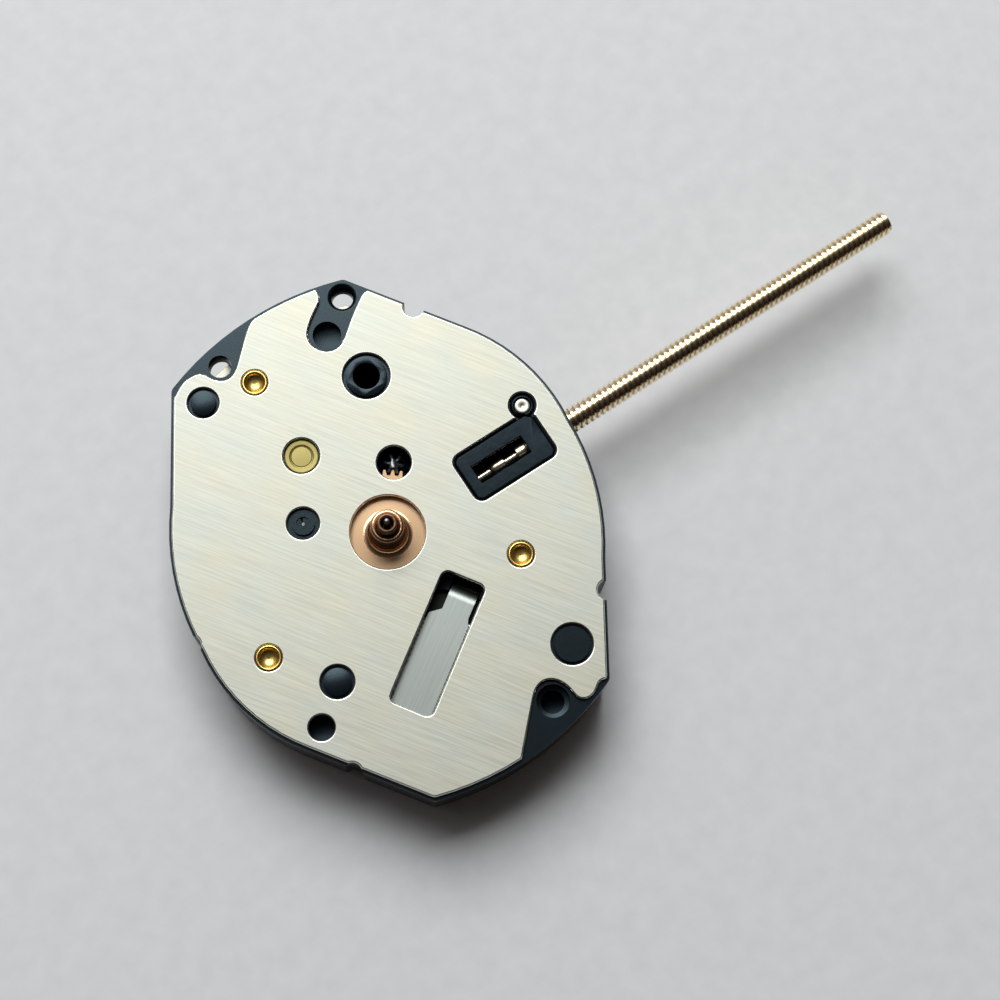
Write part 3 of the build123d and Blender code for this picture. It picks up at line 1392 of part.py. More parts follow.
# Rocker bar with the stud of the setting wheel
with BuildPart() as rocker_bar:
    rocker_back = motion_floor - rocker_drop + running_clearance
    with BuildSketch(Plane.XY.offset(rocker_back)):
        rocker_shape(0, 0)
        disc_at(minute_wheel_place, minute_post_boss_radius + running_clearance, Mode.SUBTRACT)
    extrude(amount=rocker_thickness)
    arbor(setting_place, rocker_back, motion_wheel_front, rocker_stud_radius)

rocker_bar.part.label = "rocker_bar"
export_step(rocker_bar.part, "parts/rocker_bar.step")

with BuildPart() as setting_wheel:
    with BuildSketch(Plane.XY.offset(motion_wheel_back)):
        gear_teeth(setting_place, setting_wheel_teeth, motion_module, setting_phase)
        disc_at(setting_place, rocker_stud_radius + running_clearance, Mode.SUBTRACT)
    extrude(amount=motion_wheel_thickness)

setting_wheel.part.label = "setting_wheel"
export_step(setting_wheel.part, "parts/setting_wheel.step")


# Reset lever: its tip stops the seconds wheel when the stem is pulled
with BuildPart() as reset_lever:
    with BuildSketch(Plane.XY.offset(reset_front)):
        reset_shape(0, 0)
        disc_at(reset_pivot_place, reset_pivot_radius + running_clearance, Mode.SUBTRACT)
    extrude(amount=-reset_thickness)

reset_lever.part.label = "reset_lever"
export_step(reset_lever.part, "parts/reset_lever.step")


# Motor: stator, coil core, its flanges and the winding
with BuildPart() as stator:
    with BuildSketch(Plane.XY.offset(stator_front)):
        stator_shape(0)
        disc_at(rotor_place, rotor_hole_radius, Mode.SUBTRACT)
        disc_at(tube_top, screw_radius + screw_hole_clearance, Mode.SUBTRACT)
        disc_at(tube_left, screw_radius + screw_hole_clearance, Mode.SUBTRACT)
    extrude(amount=-stator_thickness)

stator.part.label = "stator"
export_step(stator.part, "parts/stator.step")

with BuildPart() as coil_core:
    with BuildSketch(Plane.XY.offset(stator_back)):
        core_shape(0)
        disc_at(tube_top, screw_radius + screw_hole_clearance, Mode.SUBTRACT)
        disc_at(tube_left, screw_radius + screw_hole_clearance, Mode.SUBTRACT)
    extrude(amount=-core_thickness)

coil_core.part.label = "coil_core"
export_step(coil_core.part, "parts/coil_core.step")

with BuildPart() as coil_winding:
    coil_centre = (coil_middle.X, coil_middle.Y, coil_height)
    with BuildSketch(Plane(origin=coil_centre, z_dir=coil_along)):
        Circle(coil_radius)
    extrude(amount=coil_span / 2, both=True)
    with Locations(Location((coil_middle.X, coil_middle.Y, coil_height), (0, 0, coil_turn))):
        Box(coil_span, core_width, core_thickness, mode=Mode.SUBTRACT)

coil_winding.part.label = "coil_winding"
export_step(coil_winding.part, "parts/coil_winding.step")

with BuildPart() as coil_flanges:
    for side in (-1, 1):
        place = coil_middle + coil_along * side * (coil_span + flange_thickness) / 2
        with BuildSketch(Plane(origin=(place.X, place.Y, coil_height), z_dir=coil_along)):
            Circle(flange_radius)
        extrude(amount=flange_thickness / 2, both=True)
    with Locations(Location((coil_middle.X, coil_middle.Y, coil_height), (0, 0, coil_turn))):
        Box(flange_span, core_width, core_thickness, mode=Mode.SUBTRACT)

coil_flanges.part.label = "coil_flanges"
export_step(coil_flanges.part, "parts/coil_flanges.step")


# Train bridge: steel plate that holds the lower pivots
with BuildPart() as train_bridge:
    with BuildSketch(Plane.XY.offset(bridge_front)):
        bridge_shape(0)
        bridge_cuts(0)
        for place in (hand_axis, third_place, fifth_place, rotor_place):
            disc_at(place, pivot_radius + running_clearance, Mode.SUBTRACT)
        for place in tube_places:
            disc_at(place, screw_radius + screw_hole_clearance, Mode.SUBTRACT)
    extrude(amount=-bridge_thickness)

train_bridge.part.label = "train_bridge"
export_step(train_bridge.part, "parts/train_bridge.step")


# Circuit board with the potted chip, the crystal can and its leads
with BuildPart() as circuit_board:
    with BuildSketch(Plane.XY.offset(board_front)):
        board_shape(0)
        for place in (tube_top, tube_stem):
            disc_at(place, screw_radius + screw_hole_clearance, Mode.SUBTRACT)
    extrude(amount=-board_thickness)

circuit_board.part.label = "circuit_board"
export_step(circuit_board.part, "parts/circuit_board.step")

with BuildPart() as chip_potting:
    with BuildSketch(Plane.XY.offset(board_back)):
        disc_at(potting_place, potting_radius)
    extrude(amount=-potting_height)
    back_edge = chip_potting.faces().sort_by(Axis.Z)[0].edges()
    fillet(back_edge, potting_height / 2)

chip_potting.part.label = "chip_potting"
export_step(chip_potting.part, "parts/chip_potting.step")

crystal_along = polar(crystal_length, crystal_turn).normalized()
crystal_across = Vector(-crystal_along.Y, crystal_along.X)

with BuildPart() as crystal_can:
    can_centre = (crystal_x, crystal_y, crystal_height)
    with BuildSketch(Plane(origin=can_centre, z_dir=crystal_along)):
        Circle(crystal_radius)
    extrude(amount=crystal_length / 2, both=True)
    can_ends = crystal_can.edges().filter_by(GeomType.CIRCLE)
    fillet(can_ends, crystal_lead_radius)

crystal_can.part.label = "crystal_can"
export_step(crystal_can.part, "parts/crystal_can.step")

with BuildPart() as crystal_leads:
    for side in (-1, 1):
        across = crystal_across * side * crystal_lead_spacing / 2
        can_end = crystal_place + crystal_along * crystal_length / 2 + across
        knee = can_end + crystal_along * crystal_lead_run
        start = (can_end.X, can_end.Y, crystal_height)
        with BuildSketch(Plane(origin=start, z_dir=crystal_along)):
            Circle(crystal_lead_radius)
        extrude(amount=crystal_lead_run)
        with Locations((knee.X, knee.Y, crystal_height)):
            Sphere(crystal_lead_radius)
        arbor(knee, board_front, crystal_height, crystal_lead_radius)

crystal_leads.part.label = "crystal_leads"
export_step(crystal_leads.part, "parts/crystal_leads.step")


# Spacer: plastic plate that insulates the board and the coil from the cover
with BuildPart() as circuit_spacer:
    with BuildSketch(Plane.XY.offset(board_back)):
        drawn_in(rim_wall + pocket_clearance)
        disc_at(battery_place, battery_radius + strip_room, Mode.SUBTRACT)
        with Locations(Location(coil_middle, (0, 0, coil_turn))):
            room = flange_span + 2 * wheel_clearance
            Rectangle(room, 2 * (flange_radius + wheel_clearance), mode=Mode.SUBTRACT)
        disc_at(potting_place, potting_radius + wheel_clearance, Mode.SUBTRACT)
        for place in tube_places:
            disc_at(place, screw_radius + screw_hole_clearance, Mode.SUBTRACT)
        for place, turn in ((foot_a_place, foot_a_turn), (case_hole_place, case_hole_turn)):
            far = place + polar(2 * relief_radius, turn)
            with Locations(Location((place + far) / 2, (0, 0, turn))):
                SlotCenterToCenter((far - place).length, 2 * relief_radius, mode=Mode.SUBTRACT)
    extrude(amount=base_back - board_back)

circuit_spacer.part.label = "circuit_spacer"
export_step(circuit_spacer.part, "parts/circuit_spacer.step")


# Back cover with the battery's opening and the two fingers that clamp the can
with BuildPart() as back_cover:
    with BuildSketch(Plane.XY.offset(base_back)):
        drawn_in(cover_inset)
        rim_notches()
        disc_at(battery_place, battery_radius + strip_room, Mode.SUBTRACT)
        for turn in finger_turns:
            reach = battery_radius + running_clearance + finger_length / 2
            with Locations(Location(battery_place + polar(reach, turn), (0, 0, turn))):
                Rectangle(finger_length, finger_width + 2 * finger_slit, mode=Mode.SUBTRACT)
            reach = battery_radius + running_clearance + finger_length / 2
            with Locations(Location(battery_place + polar(reach, turn), (0, 0, turn))):
                Rectangle(finger_length, finger_width)
        for place in tube_places:
            disc_at(place, screw_radius + screw_hole_clearance, Mode.SUBTRACT)
    extrude(amount=-cover_thickness)

back_cover.part.label = "back_cover"
export_step(back_cover.part, "parts/back_cover.step")


# Screws: slotted heads on the cover, shanks up into the brass tubes
with BuildPart() as screw_top:
    screw_at(tube_top, coil_turn)

screw_top.part.label = "screw_top"
export_step(screw_top.part, "parts/screw_top.step")

with BuildPart() as screw_stem:
    screw_at(tube_stem, strip_turn)

screw_stem.part.label = "screw_stem"
export_step(screw_stem.part, "parts/screw_stem.step")

with BuildPart() as screw_left:
    screw_at(tube_left, train_turn)

screw_left.part.label = "screw_left"
export_step(screw_left.part, "parts/screw_left.step")
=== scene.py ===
import math

import bmesh
import bpy
from mathutils import Matrix, Vector


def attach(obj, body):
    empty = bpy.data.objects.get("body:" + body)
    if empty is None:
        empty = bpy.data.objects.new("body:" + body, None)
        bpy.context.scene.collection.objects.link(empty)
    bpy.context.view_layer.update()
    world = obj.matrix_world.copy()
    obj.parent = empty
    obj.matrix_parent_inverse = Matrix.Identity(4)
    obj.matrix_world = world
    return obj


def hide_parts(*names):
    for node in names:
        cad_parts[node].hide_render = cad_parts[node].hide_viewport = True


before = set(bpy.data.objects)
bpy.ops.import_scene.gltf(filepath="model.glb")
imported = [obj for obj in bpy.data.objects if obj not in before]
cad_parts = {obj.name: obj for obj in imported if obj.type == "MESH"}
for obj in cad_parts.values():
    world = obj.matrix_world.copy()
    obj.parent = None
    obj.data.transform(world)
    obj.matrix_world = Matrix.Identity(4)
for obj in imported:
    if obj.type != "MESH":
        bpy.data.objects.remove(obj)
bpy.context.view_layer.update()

# Main plate: the base that carries everything, injection moulded in one piece in black
# filled plastic. The mould rounds its edges a little and leaves a fine spark-eroded grain.
MM = 0.001
MOULD_GRAIN = 0.05 * MM
MOULD_GRAIN_DEPTH = 0.01 * MM
MOULD_CLOUD = 1.5 * MM
MOULD_EDGE = 0.03 * MM
SHADED_WELL_FLOOR = -0.90 * MM
SHADED_WELL_MOUTH = -0.45 * MM
MERGE_DISTANCE = 0.0005 * MM
FLAT_ANGLE = math.radians(1.0)
EDGE_ANGLE = math.radians(50)
EDGE_STEPS = 2
SHARP_DEGREES = 32


def linear(hex_colour):
    """Turns an sRGB hex colour into linear RGBA."""
    parts = [int(hex_colour[i:i + 2], 16) / 255 for i in (1, 3, 5)]
    return [c / 12.92 if c <= 0.04045 else ((c + 0.055) / 1.055) ** 2.4 for c in parts] + [1.0]


def empty_material(name):
    """Starts a material with no nodes in it."""
    material = bpy.data.materials.new(name)
    material.use_nodes = True
    material.node_tree.nodes.clear()
    return material


def add_node(owner, kind, links=(), **settings):
    """Adds one node, sets its sockets or properties, and links its inputs."""
    tree = getattr(owner, "node_tree", owner)
    node = tree.nodes.new(kind)
    for key, value in settings.items():
        if hasattr(node, key):
            setattr(node, key, value)
        else:
            node.inputs[key].default_value = value
    for socket, source in links:
        tree.links.new(source, node.inputs[socket])
    return node


def set_ramp(ramp, *stops):
    """Sets a colour ramp's stops from (position, hex colour) pairs."""
    elements = ramp.color_ramp.elements
    while len(elements) < len(stops):
        elements.new(0.5)
    for element, (position, hex_colour) in zip(elements, stops):
        element.position = position
        element.color = linear(hex_colour)
    return ramp


def put_in_scene(name, data):
    """Makes an object of a mesh, lamp or camera and puts it in the scene."""
    thing = bpy.data.objects.new(name, data)
    bpy.context.scene.collection.objects.link(thing)
    return thing


def bake(piece, sharp_degrees):
    """Turns the evaluated piece into a plain mesh, smooth but for its sharp edges."""
    seen = piece.evaluated_get(bpy.context.evaluated_depsgraph_get())
    baked = bpy.data.meshes.new_from_object(seen)
    piece.modifiers.clear()
    piece.data = baked
    if sharp_degrees:
        baked.shade_smooth()
        baked.set_sharp_from_angle(angle=math.radians(sharp_degrees))


def dressed_copy(name, node_name, body, materials, edge, choose=None, edge_finish=-1,
                 clamp=False):
    """Copies a solid, merges its triangles and breaks its sharp edges by a real radius.

    Each face takes the material that choose gives it, and the broken edges edge_finish.
    """
    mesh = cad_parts[node_name].data.copy()
    mesh.materials.clear()
    for material in materials:
        mesh.materials.append(material)
    work = bmesh.new()
    work.from_mesh(mesh)
    bmesh.ops.remove_doubles(work, verts=work.verts, dist=MERGE_DISTANCE)
    if choose:
        for face in work.faces:
            face.material_index = choose(face.calc_center_median() / MM, face.normal)
    else:
        bmesh.ops.dissolve_limit(work, angle_limit=FLAT_ANGLE,
                                 verts=work.verts, edges=work.edges)
    work.to_mesh(mesh)
    work.free()
    piece = put_in_scene(name, mesh)
    if edge:
        mesh.shade_smooth()
        bevel = piece.modifiers.new("broken_edge", "BEVEL")
        bevel.width = edge
        bevel.segments = EDGE_STEPS
        bevel.material = edge_finish
        bevel.use_clamp_overlap = clamp
        bevel.limit_method = "ANGLE"
        bevel.angle_limit = EDGE_ANGLE
        piece.modifiers.new("flat_faces", "WEIGHTED_NORMAL")
    bake(piece, 0 if edge else SHARP_DEGREES)
    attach(piece, body)
    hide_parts(node_name)


# Moulded black plastic: bluish black, grey-blue on the faces that see the window. In the wells
# its reflection is turned down from mouth to floor, as painted shade.
moulded_black = empty_material("moulded_black_plastic")
place = add_node(moulded_black, "ShaderNodeTexCoord")
grain = add_node(moulded_black, "ShaderNodeTexNoise",
                 [("Vector", place.outputs["Object"])], Scale=1 / MOULD_GRAIN, Detail=3.0)
cloud = add_node(moulded_black, "ShaderNodeTexNoise",
                 [("Vector", place.outputs["Object"])], Scale=1 / MOULD_CLOUD, Detail=2.0)
tone = set_ramp(add_node(moulded_black, "ShaderNodeValToRGB", [("Fac", cloud.outputs["Fac"])]),
                (0.3, "#070b10"), (0.7, "#0d131a"))
relief = add_node(moulded_black, "ShaderNodeBump", [("Height", grain.outputs["Fac"])],
                  Strength=0.30, Distance=MOULD_GRAIN_DEPTH)
height = add_node(moulded_black, "ShaderNodeSeparateXYZ", [("Vector", place.outputs["Object"])])
# Painted shade: the reflection weakens with depth, so the wells and gaps look dark.
sheen = add_node(moulded_black, "ShaderNodeMapRange", [("Value", height.outputs["Z"])],
                 **{"From Min": SHADED_WELL_FLOOR, "From Max": SHADED_WELL_MOUTH,
                    "To Min": 0.12, "To Max": 0.50})
shader = add_node(moulded_black, "ShaderNodeBsdfPrincipled",
                  [("Base Color", tone.outputs["Color"]), ("Normal", relief.outputs["Normal"]),
                   ("Specular IOR Level", sheen.outputs["Result"])],
                  **{"Roughness": 0.28, "IOR": 1.5, "Specular Tint": linear("#c4e2f2")})
add_node(moulded_black, "ShaderNodeOutputMaterial", [("Surface", shader.outputs["BSDF"])])

dressed_copy("moulded_base", "main_plate", "movement", [moulded_black],
             MOULD_EDGE, clamp=True)

# Battery: drawn and nickel-plated can with its cap facing the dial, crimped over a black
# fibre washer that lies on the can's shoulder and keeps the contact strip off it.
BATTERY_PLACE = (-1.549, -5.4005)
DRAWING_RINGS = 0.12 * MM
FIBRE_SIZE = 0.04 * MM
TOOL_MARK_DEPTH = 0.004 * MM
WASHER_SIDES = 96
# (radius, height) in mm: flat underside, rim, a slope up to the crown, and the bore.
WASHER_PROFILE = [(2.56, -0.85), (3.38, -0.85), (3.38, -0.80), (3.05, -0.765), (2.75, -0.75),
                  (2.56, -0.75)]
# A ring of the wave texture repeats every 0.314 / Scale.
RING_SCALE = 0.314


def worked_metal(name, dark, light, rough_low, rough_high, mark, bump=0.15):
    """Metal whose tone and gloss vary over the marks of its working, mark is (x, y, z, turn)."""
    material = empty_material(name)
    spot = add_node(material, "ShaderNodeTexCoord")
    along = add_node(material, "ShaderNodeMapping", [("Vector", spot.outputs["Object"])],
                     vector_type="TEXTURE", Rotation=(0, 0, mark[3]), Scale=mark[:3])
    marks = add_node(material, "ShaderNodeTexNoise",
                     [("Vector", along.outputs["Vector"])], Scale=1.0, Detail=3.0)
    shade = set_ramp(add_node(material, "ShaderNodeValToRGB", [("Fac", marks.outputs["Fac"])]),
                     (0.3, dark), (0.7, light))
    sheen = add_node(material, "ShaderNodeMapRange", [("Value", marks.outputs["Fac"])],
                     **{"To Min": rough_low, "To Max": rough_high})
    dents = add_node(material, "ShaderNodeBump", [("Height", marks.outputs["Fac"])],
                     Strength=bump, Distance=TOOL_MARK_DEPTH)
    surface = add_node(material, "ShaderNodeBsdfPrincipled",
                       [("Base Color", shade.outputs["Color"]),
                        ("Roughness", sheen.outputs["Result"]),
                        ("Normal", dents.outputs["Normal"])], Metallic=1.0)
    add_node(material, "ShaderNodeOutputMaterial", [("Surface", surface.outputs["BSDF"])])
    return material


def turned_metal(name, dark, light, rough_low, rough_high, feed, centre):
    """Metal with the fine rings, feed apart, that a lathe leaves round its axis at centre."""
    material = empty_material(name)
    spot = add_node(material, "ShaderNodeTexCoord")
    middle = add_node(material, "ShaderNodeMapping", [("Vector", spot.outputs["Object"])],
                      Location=(-centre[0] * MM, -centre[1] * MM, 0))
    rings = add_node(material, "ShaderNodeTexWave", [("Vector", middle.outputs["Vector"])],
                     wave_type="RINGS", rings_direction="Z", Scale=RING_SCALE / feed,
                     Distortion=1.5, Detail=2.0)
    shade = set_ramp(add_node(material, "ShaderNodeValToRGB", [("Fac", rings.outputs["Fac"])]),
                     (0.1, dark), (0.9, light))
    sheen = add_node(material, "ShaderNodeMapRange", [("Value", rings.outputs["Fac"])],
                     **{"To Min": rough_low, "To Max": rough_high})
    surface = add_node(material, "ShaderNodeBsdfPrincipled",
                       [("Base Color", shade.outputs["Color"]),
                        ("Roughness", sheen.outputs["Result"])], Metallic=1.0)
    add_node(material, "ShaderNodeOutputMaterial", [("Surface", surface.outputs["BSDF"])])
    return material


def finish_node(node_name, material):
    """Gives a solid of the frame its material."""
    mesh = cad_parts[node_name].data
    mesh.materials.clear()
    mesh.materials.append(material)


def skin_over(name, work, rows, ring=False):
    """Closes rows of points into one skin; a ring meets itself, the rest get two end faces."""
    corners = len(rows[0])
    for near, far in zip(rows, rows[1:] + rows[:1] if ring else rows[1:]):
        for i in range(corners):
            j = (i + 1) % corners
            work.faces.new((near[i], near[j], far[j], far[i]))
    if not ring:
        work.faces.new(rows[0])
        work.faces.new(list(reversed(rows[-1])))
    bmesh.ops.recalc_face_normals(work, faces=work.faces)
    mesh = bpy.data.meshes.new(name)
    work.to_mesh(mesh)
    work.free()
    return put_in_scene(name, mesh)


def turned_piece(name, profile, sides, where, ring=False):
    """Turns (radius, height) pairs round an axis; a ring is closed on itself."""
    work = bmesh.new()
    turns = [2 * math.pi * i / sides for i in range(sides)]
    rows = []
    for radius, height in profile:
        rows.append([work.verts.new(where @ Vector((radius * MM * math.cos(turn),
                                                    radius * MM * math.sin(turn),
                                                    height * MM))) for turn in turns])
    return skin_over(name, work, rows, ring)


def upright_at(centre):
    """Puts a turned piece's axis upright over a point given in millimetres."""
    return Matrix.Translation((centre[0] * MM, centre[1] * MM, 0))


def seat(piece, body, slot, material, *nodes, sharp_degrees=SHARP_DEGREES):
    """Finishes a piece made here, and puts it in the place of the solids it stands for."""
    if material:
        piece.data.materials.append(material)
    bake(piece, sharp_degrees)
    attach(piece, body)
    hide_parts(*nodes)


# Drawn nickel can: soft grey mirror with faint rings from the drawing die.
drawn_can = turned_metal("drawn_nickel_can", "#9a9b99", "#bdbdb9", 0.24, 0.34, DRAWING_RINGS,
                         BATTERY_PLACE)
finish_node("battery_can", drawn_can)
finish_node("battery_cap", drawn_can)

# Black vulcanised fibre: dull, slightly brown, with short fibres lying every way.
black_fibre = empty_material("black_vulcanised_fibre")
place = add_node(black_fibre, "ShaderNodeTexCoord")
hair = add_node(black_fibre, "ShaderNodeTexNoise",
                [("Vector", place.outputs["Object"])], Scale=1 / FIBRE_SIZE, Detail=4.0)
tone = set_ramp(add_node(black_fibre, "ShaderNodeValToRGB", [("Fac", hair.outputs["Fac"])]),
                (0.35, "#08090b"), (0.65, "#101215"))
shader = add_node(black_fibre, "ShaderNodeBsdfPrincipled",
                  [("Base Color", tone.outputs["Color"])], Roughness=0.75, IOR=1.5)
add_node(black_fibre, "ShaderNodeOutputMaterial", [("Surface", shader.outputs["BSDF"])])
washer = turned_piece("battery_fibre_washer", WASHER_PROFILE, WASHER_SIDES,
                      upright_at(BATTERY_PLACE), ring=True)
seat(washer, "movement", "seal_plastic", black_fibre, "battery_seal")

# Contact strip: flat spring steel over the battery's cap, necked on one side and bent down
# to the circuit board. Rolled sheet, so its fine lines run along it.
STRIP_PLACE = Matrix.Translation((-0.6777 * MM, -4.2311 * MM, -0.45 * MM))
STRIP_TURN = math.radians(34.3)
STRIP_THICKNESS = 0.08
STRIP_TAIL = -2.80
STRIP_HALF_WIDTH = 0.735
STRIP_OUTER_FACE = 2.28
STRIP_FOOT = -1.80
NECK_SHOULDER = (0.95, 1.25)
NECK_MIDDLE, NECK_HALF_WIDTH = -0.14, 0.49
STRIP_BEND = 0.52
STRIP_BEND_LEAD = 0.02
STRIP_BEND_STEPS = 14
STRIP_SHARP_DEGREES = 35
ROLL_LINE = (1.8 * MM, 0.05 * MM, 0.05 * MM)

# Each station is (along, height) of the upper face, the same of the lower, middle and
# half width across, all in mm.
bend_from = STRIP_OUTER_FACE - STRIP_BEND
inner_bend = STRIP_BEND - STRIP_THICKNESS
flat_stations = [(STRIP_TAIL, 0, STRIP_HALF_WIDTH),
                 (NECK_SHOULDER[0], 0, STRIP_HALF_WIDTH),
                 (NECK_SHOULDER[1], NECK_MIDDLE, NECK_HALF_WIDTH),
                 (bend_from - STRIP_BEND_LEAD, NECK_MIDDLE, NECK_HALF_WIDTH)]
stations = [(reach, 0, reach, -STRIP_THICKNESS, middle, half)
            for reach, middle, half in flat_stations]
for step in range(STRIP_BEND_STEPS + 1):
    angle = math.radians(90) * step / STRIP_BEND_STEPS
    stations.append((bend_from + STRIP_BEND * math.sin(angle),
                     STRIP_BEND * (math.cos(angle) - 1),
                     bend_from + inner_bend * math.sin(angle),
                     inner_bend * math.cos(angle) - STRIP_BEND,
                     NECK_MIDDLE, NECK_HALF_WIDTH))
stations.append((STRIP_OUTER_FACE, STRIP_FOOT, STRIP_OUTER_FACE - STRIP_THICKNESS, STRIP_FOOT,
                 NECK_MIDDLE, NECK_HALF_WIDTH))
work = bmesh.new()
strip_frame = STRIP_PLACE @ Matrix.Rotation(STRIP_TURN, 4, "Z") @ Matrix.Scale(MM, 4)
rows = []
for top_along, top_height, under_along, under_height, middle, half in stations:
    rows.append([work.verts.new(strip_frame @ Vector(corner)) for corner in (
        (top_along, middle - half, top_height), (top_along, middle + half, top_height),
        (under_along, middle + half, under_height), (under_along, middle - half, under_height))])
strip = skin_over("bent_contact_strip", work, rows)

# Rolled spring steel: cool grey, satin, with faint lines along the strip 0.05 mm apart.
rolled_spring = worked_metal("rolled_spring_steel", "#a3aaa7", "#b1b7b3", 0.36, 0.42,
                             (*ROLL_LINE, STRIP_TURN), bump=0.08)
seat(strip, "movement", "spring_steel", rolled_spring, "contact_strip",
     sharp_degrees=STRIP_SHARP_DEGREES)

# Coil: enamelled copper wire wound on the soft-iron core between two nylon flanges. The
# winding is a real helix, its wire drawn 0.09 mm thick because the real one is a quarter of it.
COIL_PLACE = (-4.362 * MM, 3.332 * MM, -1.75 * MM)
COIL_TURN = math.radians(60.9)
COIL_LENGTH = 6.62
COIL_RADIUS = 0.82
COIL_SIDES = 48
COIL_SHARP_DEGREES = 70
WIRE = 0.09
WIRE_STEPS = 20
RIDGE_SIDES = 6
HALF_SIDE_ANGLE = math.radians(30)
ENAMEL_CLOUD = 0.4 * MM
IRON_CLOUD = 0.5 * MM
NYLON_MOTTLE = 0.20 * MM
PLASTIC_GRAIN_DEPTH = 0.01 * MM

# The tree sweeps a six-sided ridge, one flat outwards, along a helix that stands on the
# piece's axis, and joins it to the piece.
wound = bpy.data.node_groups.new("wound_ridge", "GeometryNodeTree")
wound.interface.new_socket("Geometry", in_out="INPUT", socket_type="NodeSocketGeometry")
for label, kind in (("Turns", "NodeSocketFloat"), ("Length", "NodeSocketFloat"),
                    ("Mean Radius", "NodeSocketFloat"), ("Steps", "NodeSocketInt"),
                    ("Ridge Size", "NodeSocketVector"), ("Place", "NodeSocketVector"),
                    ("Turn", "NodeSocketVector"), ("Finish", "NodeSocketMaterial")):
    wound.interface.new_socket(label, in_out="INPUT", socket_type=kind)
wound.interface.new_socket("Geometry", in_out="OUTPUT", socket_type="NodeSocketGeometry")
given = add_node(wound, "NodeGroupInput")
helix = add_node(wound, "GeometryNodeCurveSpiral",
                 [("Resolution", given.outputs["Steps"]), ("Rotations", given.outputs["Turns"]),
                  ("Height", given.outputs["Length"]),
                  ("Start Radius", given.outputs["Mean Radius"]),
                  ("End Radius", given.outputs["Mean Radius"])])
facing_out = add_node(wound, "GeometryNodeSetCurveNormal",
                      [("Curve", helix.outputs["Curve"])], mode="Z_UP")
outline = add_node(wound, "GeometryNodeCurvePrimitiveCircle", Resolution=RIDGE_SIDES, Radius=1.0)
flat_out = add_node(wound, "GeometryNodeTransform", [("Geometry", outline.outputs["Curve"])],
                    Rotation=(0, 0, HALF_SIDE_ANGLE))
ridge = add_node(wound, "GeometryNodeTransform", [("Geometry", flat_out.outputs["Geometry"]),
                                                  ("Scale", given.outputs["Ridge Size"])])
sweep = add_node(wound, "GeometryNodeCurveToMesh",
                 [("Curve", facing_out.outputs["Curve"]),
                  ("Profile Curve", ridge.outputs["Geometry"])], **{"Fill Caps": True})
laid = add_node(wound, "GeometryNodeTransform",
                [("Geometry", sweep.outputs["Mesh"]), ("Translation", given.outputs["Place"]),
                 ("Rotation", given.outputs["Turn"])])
joined = add_node(wound, "GeometryNodeJoinGeometry",
                  [("Geometry", laid.outputs["Geometry"]),
                   ("Geometry", given.outputs["Geometry"])])
real = add_node(wound, "GeometryNodeRealizeInstances",
                [("Geometry", joined.outputs["Geometry"])])
coated = add_node(wound, "GeometryNodeSetMaterial",
                  [("Geometry", real.outputs["Geometry"]),
                   ("Material", given.outputs["Finish"])])
add_node(wound, "NodeGroupOutput", [("Geometry", coated.outputs["Geometry"])])


def wind(piece, **sizes):
    """Adds the wound ridge to a piece; sizes are the tree's inputs by name."""
    modifier = piece.modifiers.new("wound_ridge", "NODES")
    modifier.node_group = wound
    for item in wound.interface.items_tree:
        key = item.name.replace(" ", "_").lower()
        if item.in_out == "INPUT" and key in sizes:
            modifier[item.identifier] = sizes[key]


coil_frame = (Matrix.Translation(COIL_PLACE) @ Matrix.Rotation(COIL_TURN, 4, "Z")
              @ Matrix.Rotation(math.radians(90), 4, "Y"))
coil_heart = COIL_RADIUS - WIRE / 2
coil = turned_piece("wound_coil", [(coil_heart, -COIL_LENGTH / 2), (coil_heart, COIL_LENGTH / 2)],
                    COIL_SIDES, coil_frame)
wire_run = COIL_LENGTH - 2 * WIRE
wire_start = coil_frame @ Vector((0, 0, -wire_run / 2 * MM))

# Enamelled copper wire: dark red-brown lacquer over copper, glossy along each turn.
enamelled_wire = worked_metal("enamelled_copper_wire", "#8a3d1a", "#b5582c", 0.22, 0.32,
                              (ENAMEL_CLOUD, ENAMEL_CLOUD, ENAMEL_CLOUD, 0), bump=0.05)
wind(coil, turns=wire_run / WIRE, length=wire_run * MM, mean_radius=coil_heart * MM,
     steps=WIRE_STEPS, ridge_size=(WIRE / 2 / math.cos(HALF_SIDE_ANGLE) * MM, WIRE / 2 * MM, 1.0),
     place=tuple(wire_start), turn=tuple(coil_frame.to_euler()), finish=enamelled_wire)
seat(coil, "movement", "copper_wire", None, "coil_winding", sharp_degrees=COIL_SHARP_DEGREES)

# Annealed soft iron: dull warm grey from the furnace, cloudy over half a millimetre.
annealed_iron = worked_metal("annealed_soft_iron", "#7a776f", "#979388", 0.42, 0.55,
                             (IRON_CLOUD, IRON_CLOUD, IRON_CLOUD, 0))
finish_node("coil_core", annealed_iron)
finish_node("stator", annealed_iron)


def plain_plastic(name, dark, light, rough, mark):
    """Moulded or poured plastic with a slight mottle of a real size."""
    material = empty_material(name)
    spot = add_node(material, "ShaderNodeTexCoord")
    mottle = add_node(material, "ShaderNodeTexNoise",
                      [("Vector", spot.outputs["Object"])], Scale=1 / mark, Detail=3.0)
    shade = set_ramp(add_node(material, "ShaderNodeValToRGB", [("Fac", mottle.outputs["Fac"])]),
                     (0.3, dark), (0.7, light))
    bump = add_node(material, "ShaderNodeBump", [("Height", mottle.outputs["Fac"])],
                    Strength=0.2, Distance=PLASTIC_GRAIN_DEPTH)
    surface = add_node(material, "ShaderNodeBsdfPrincipled",
                       [("Base Color", shade.outputs["Color"]),
                        ("Normal", bump.outputs["Normal"])], Roughness=rough, IOR=1.5)
    add_node(material, "ShaderNodeOutputMaterial", [("Surface", surface.outputs["BSDF"])])
    return material


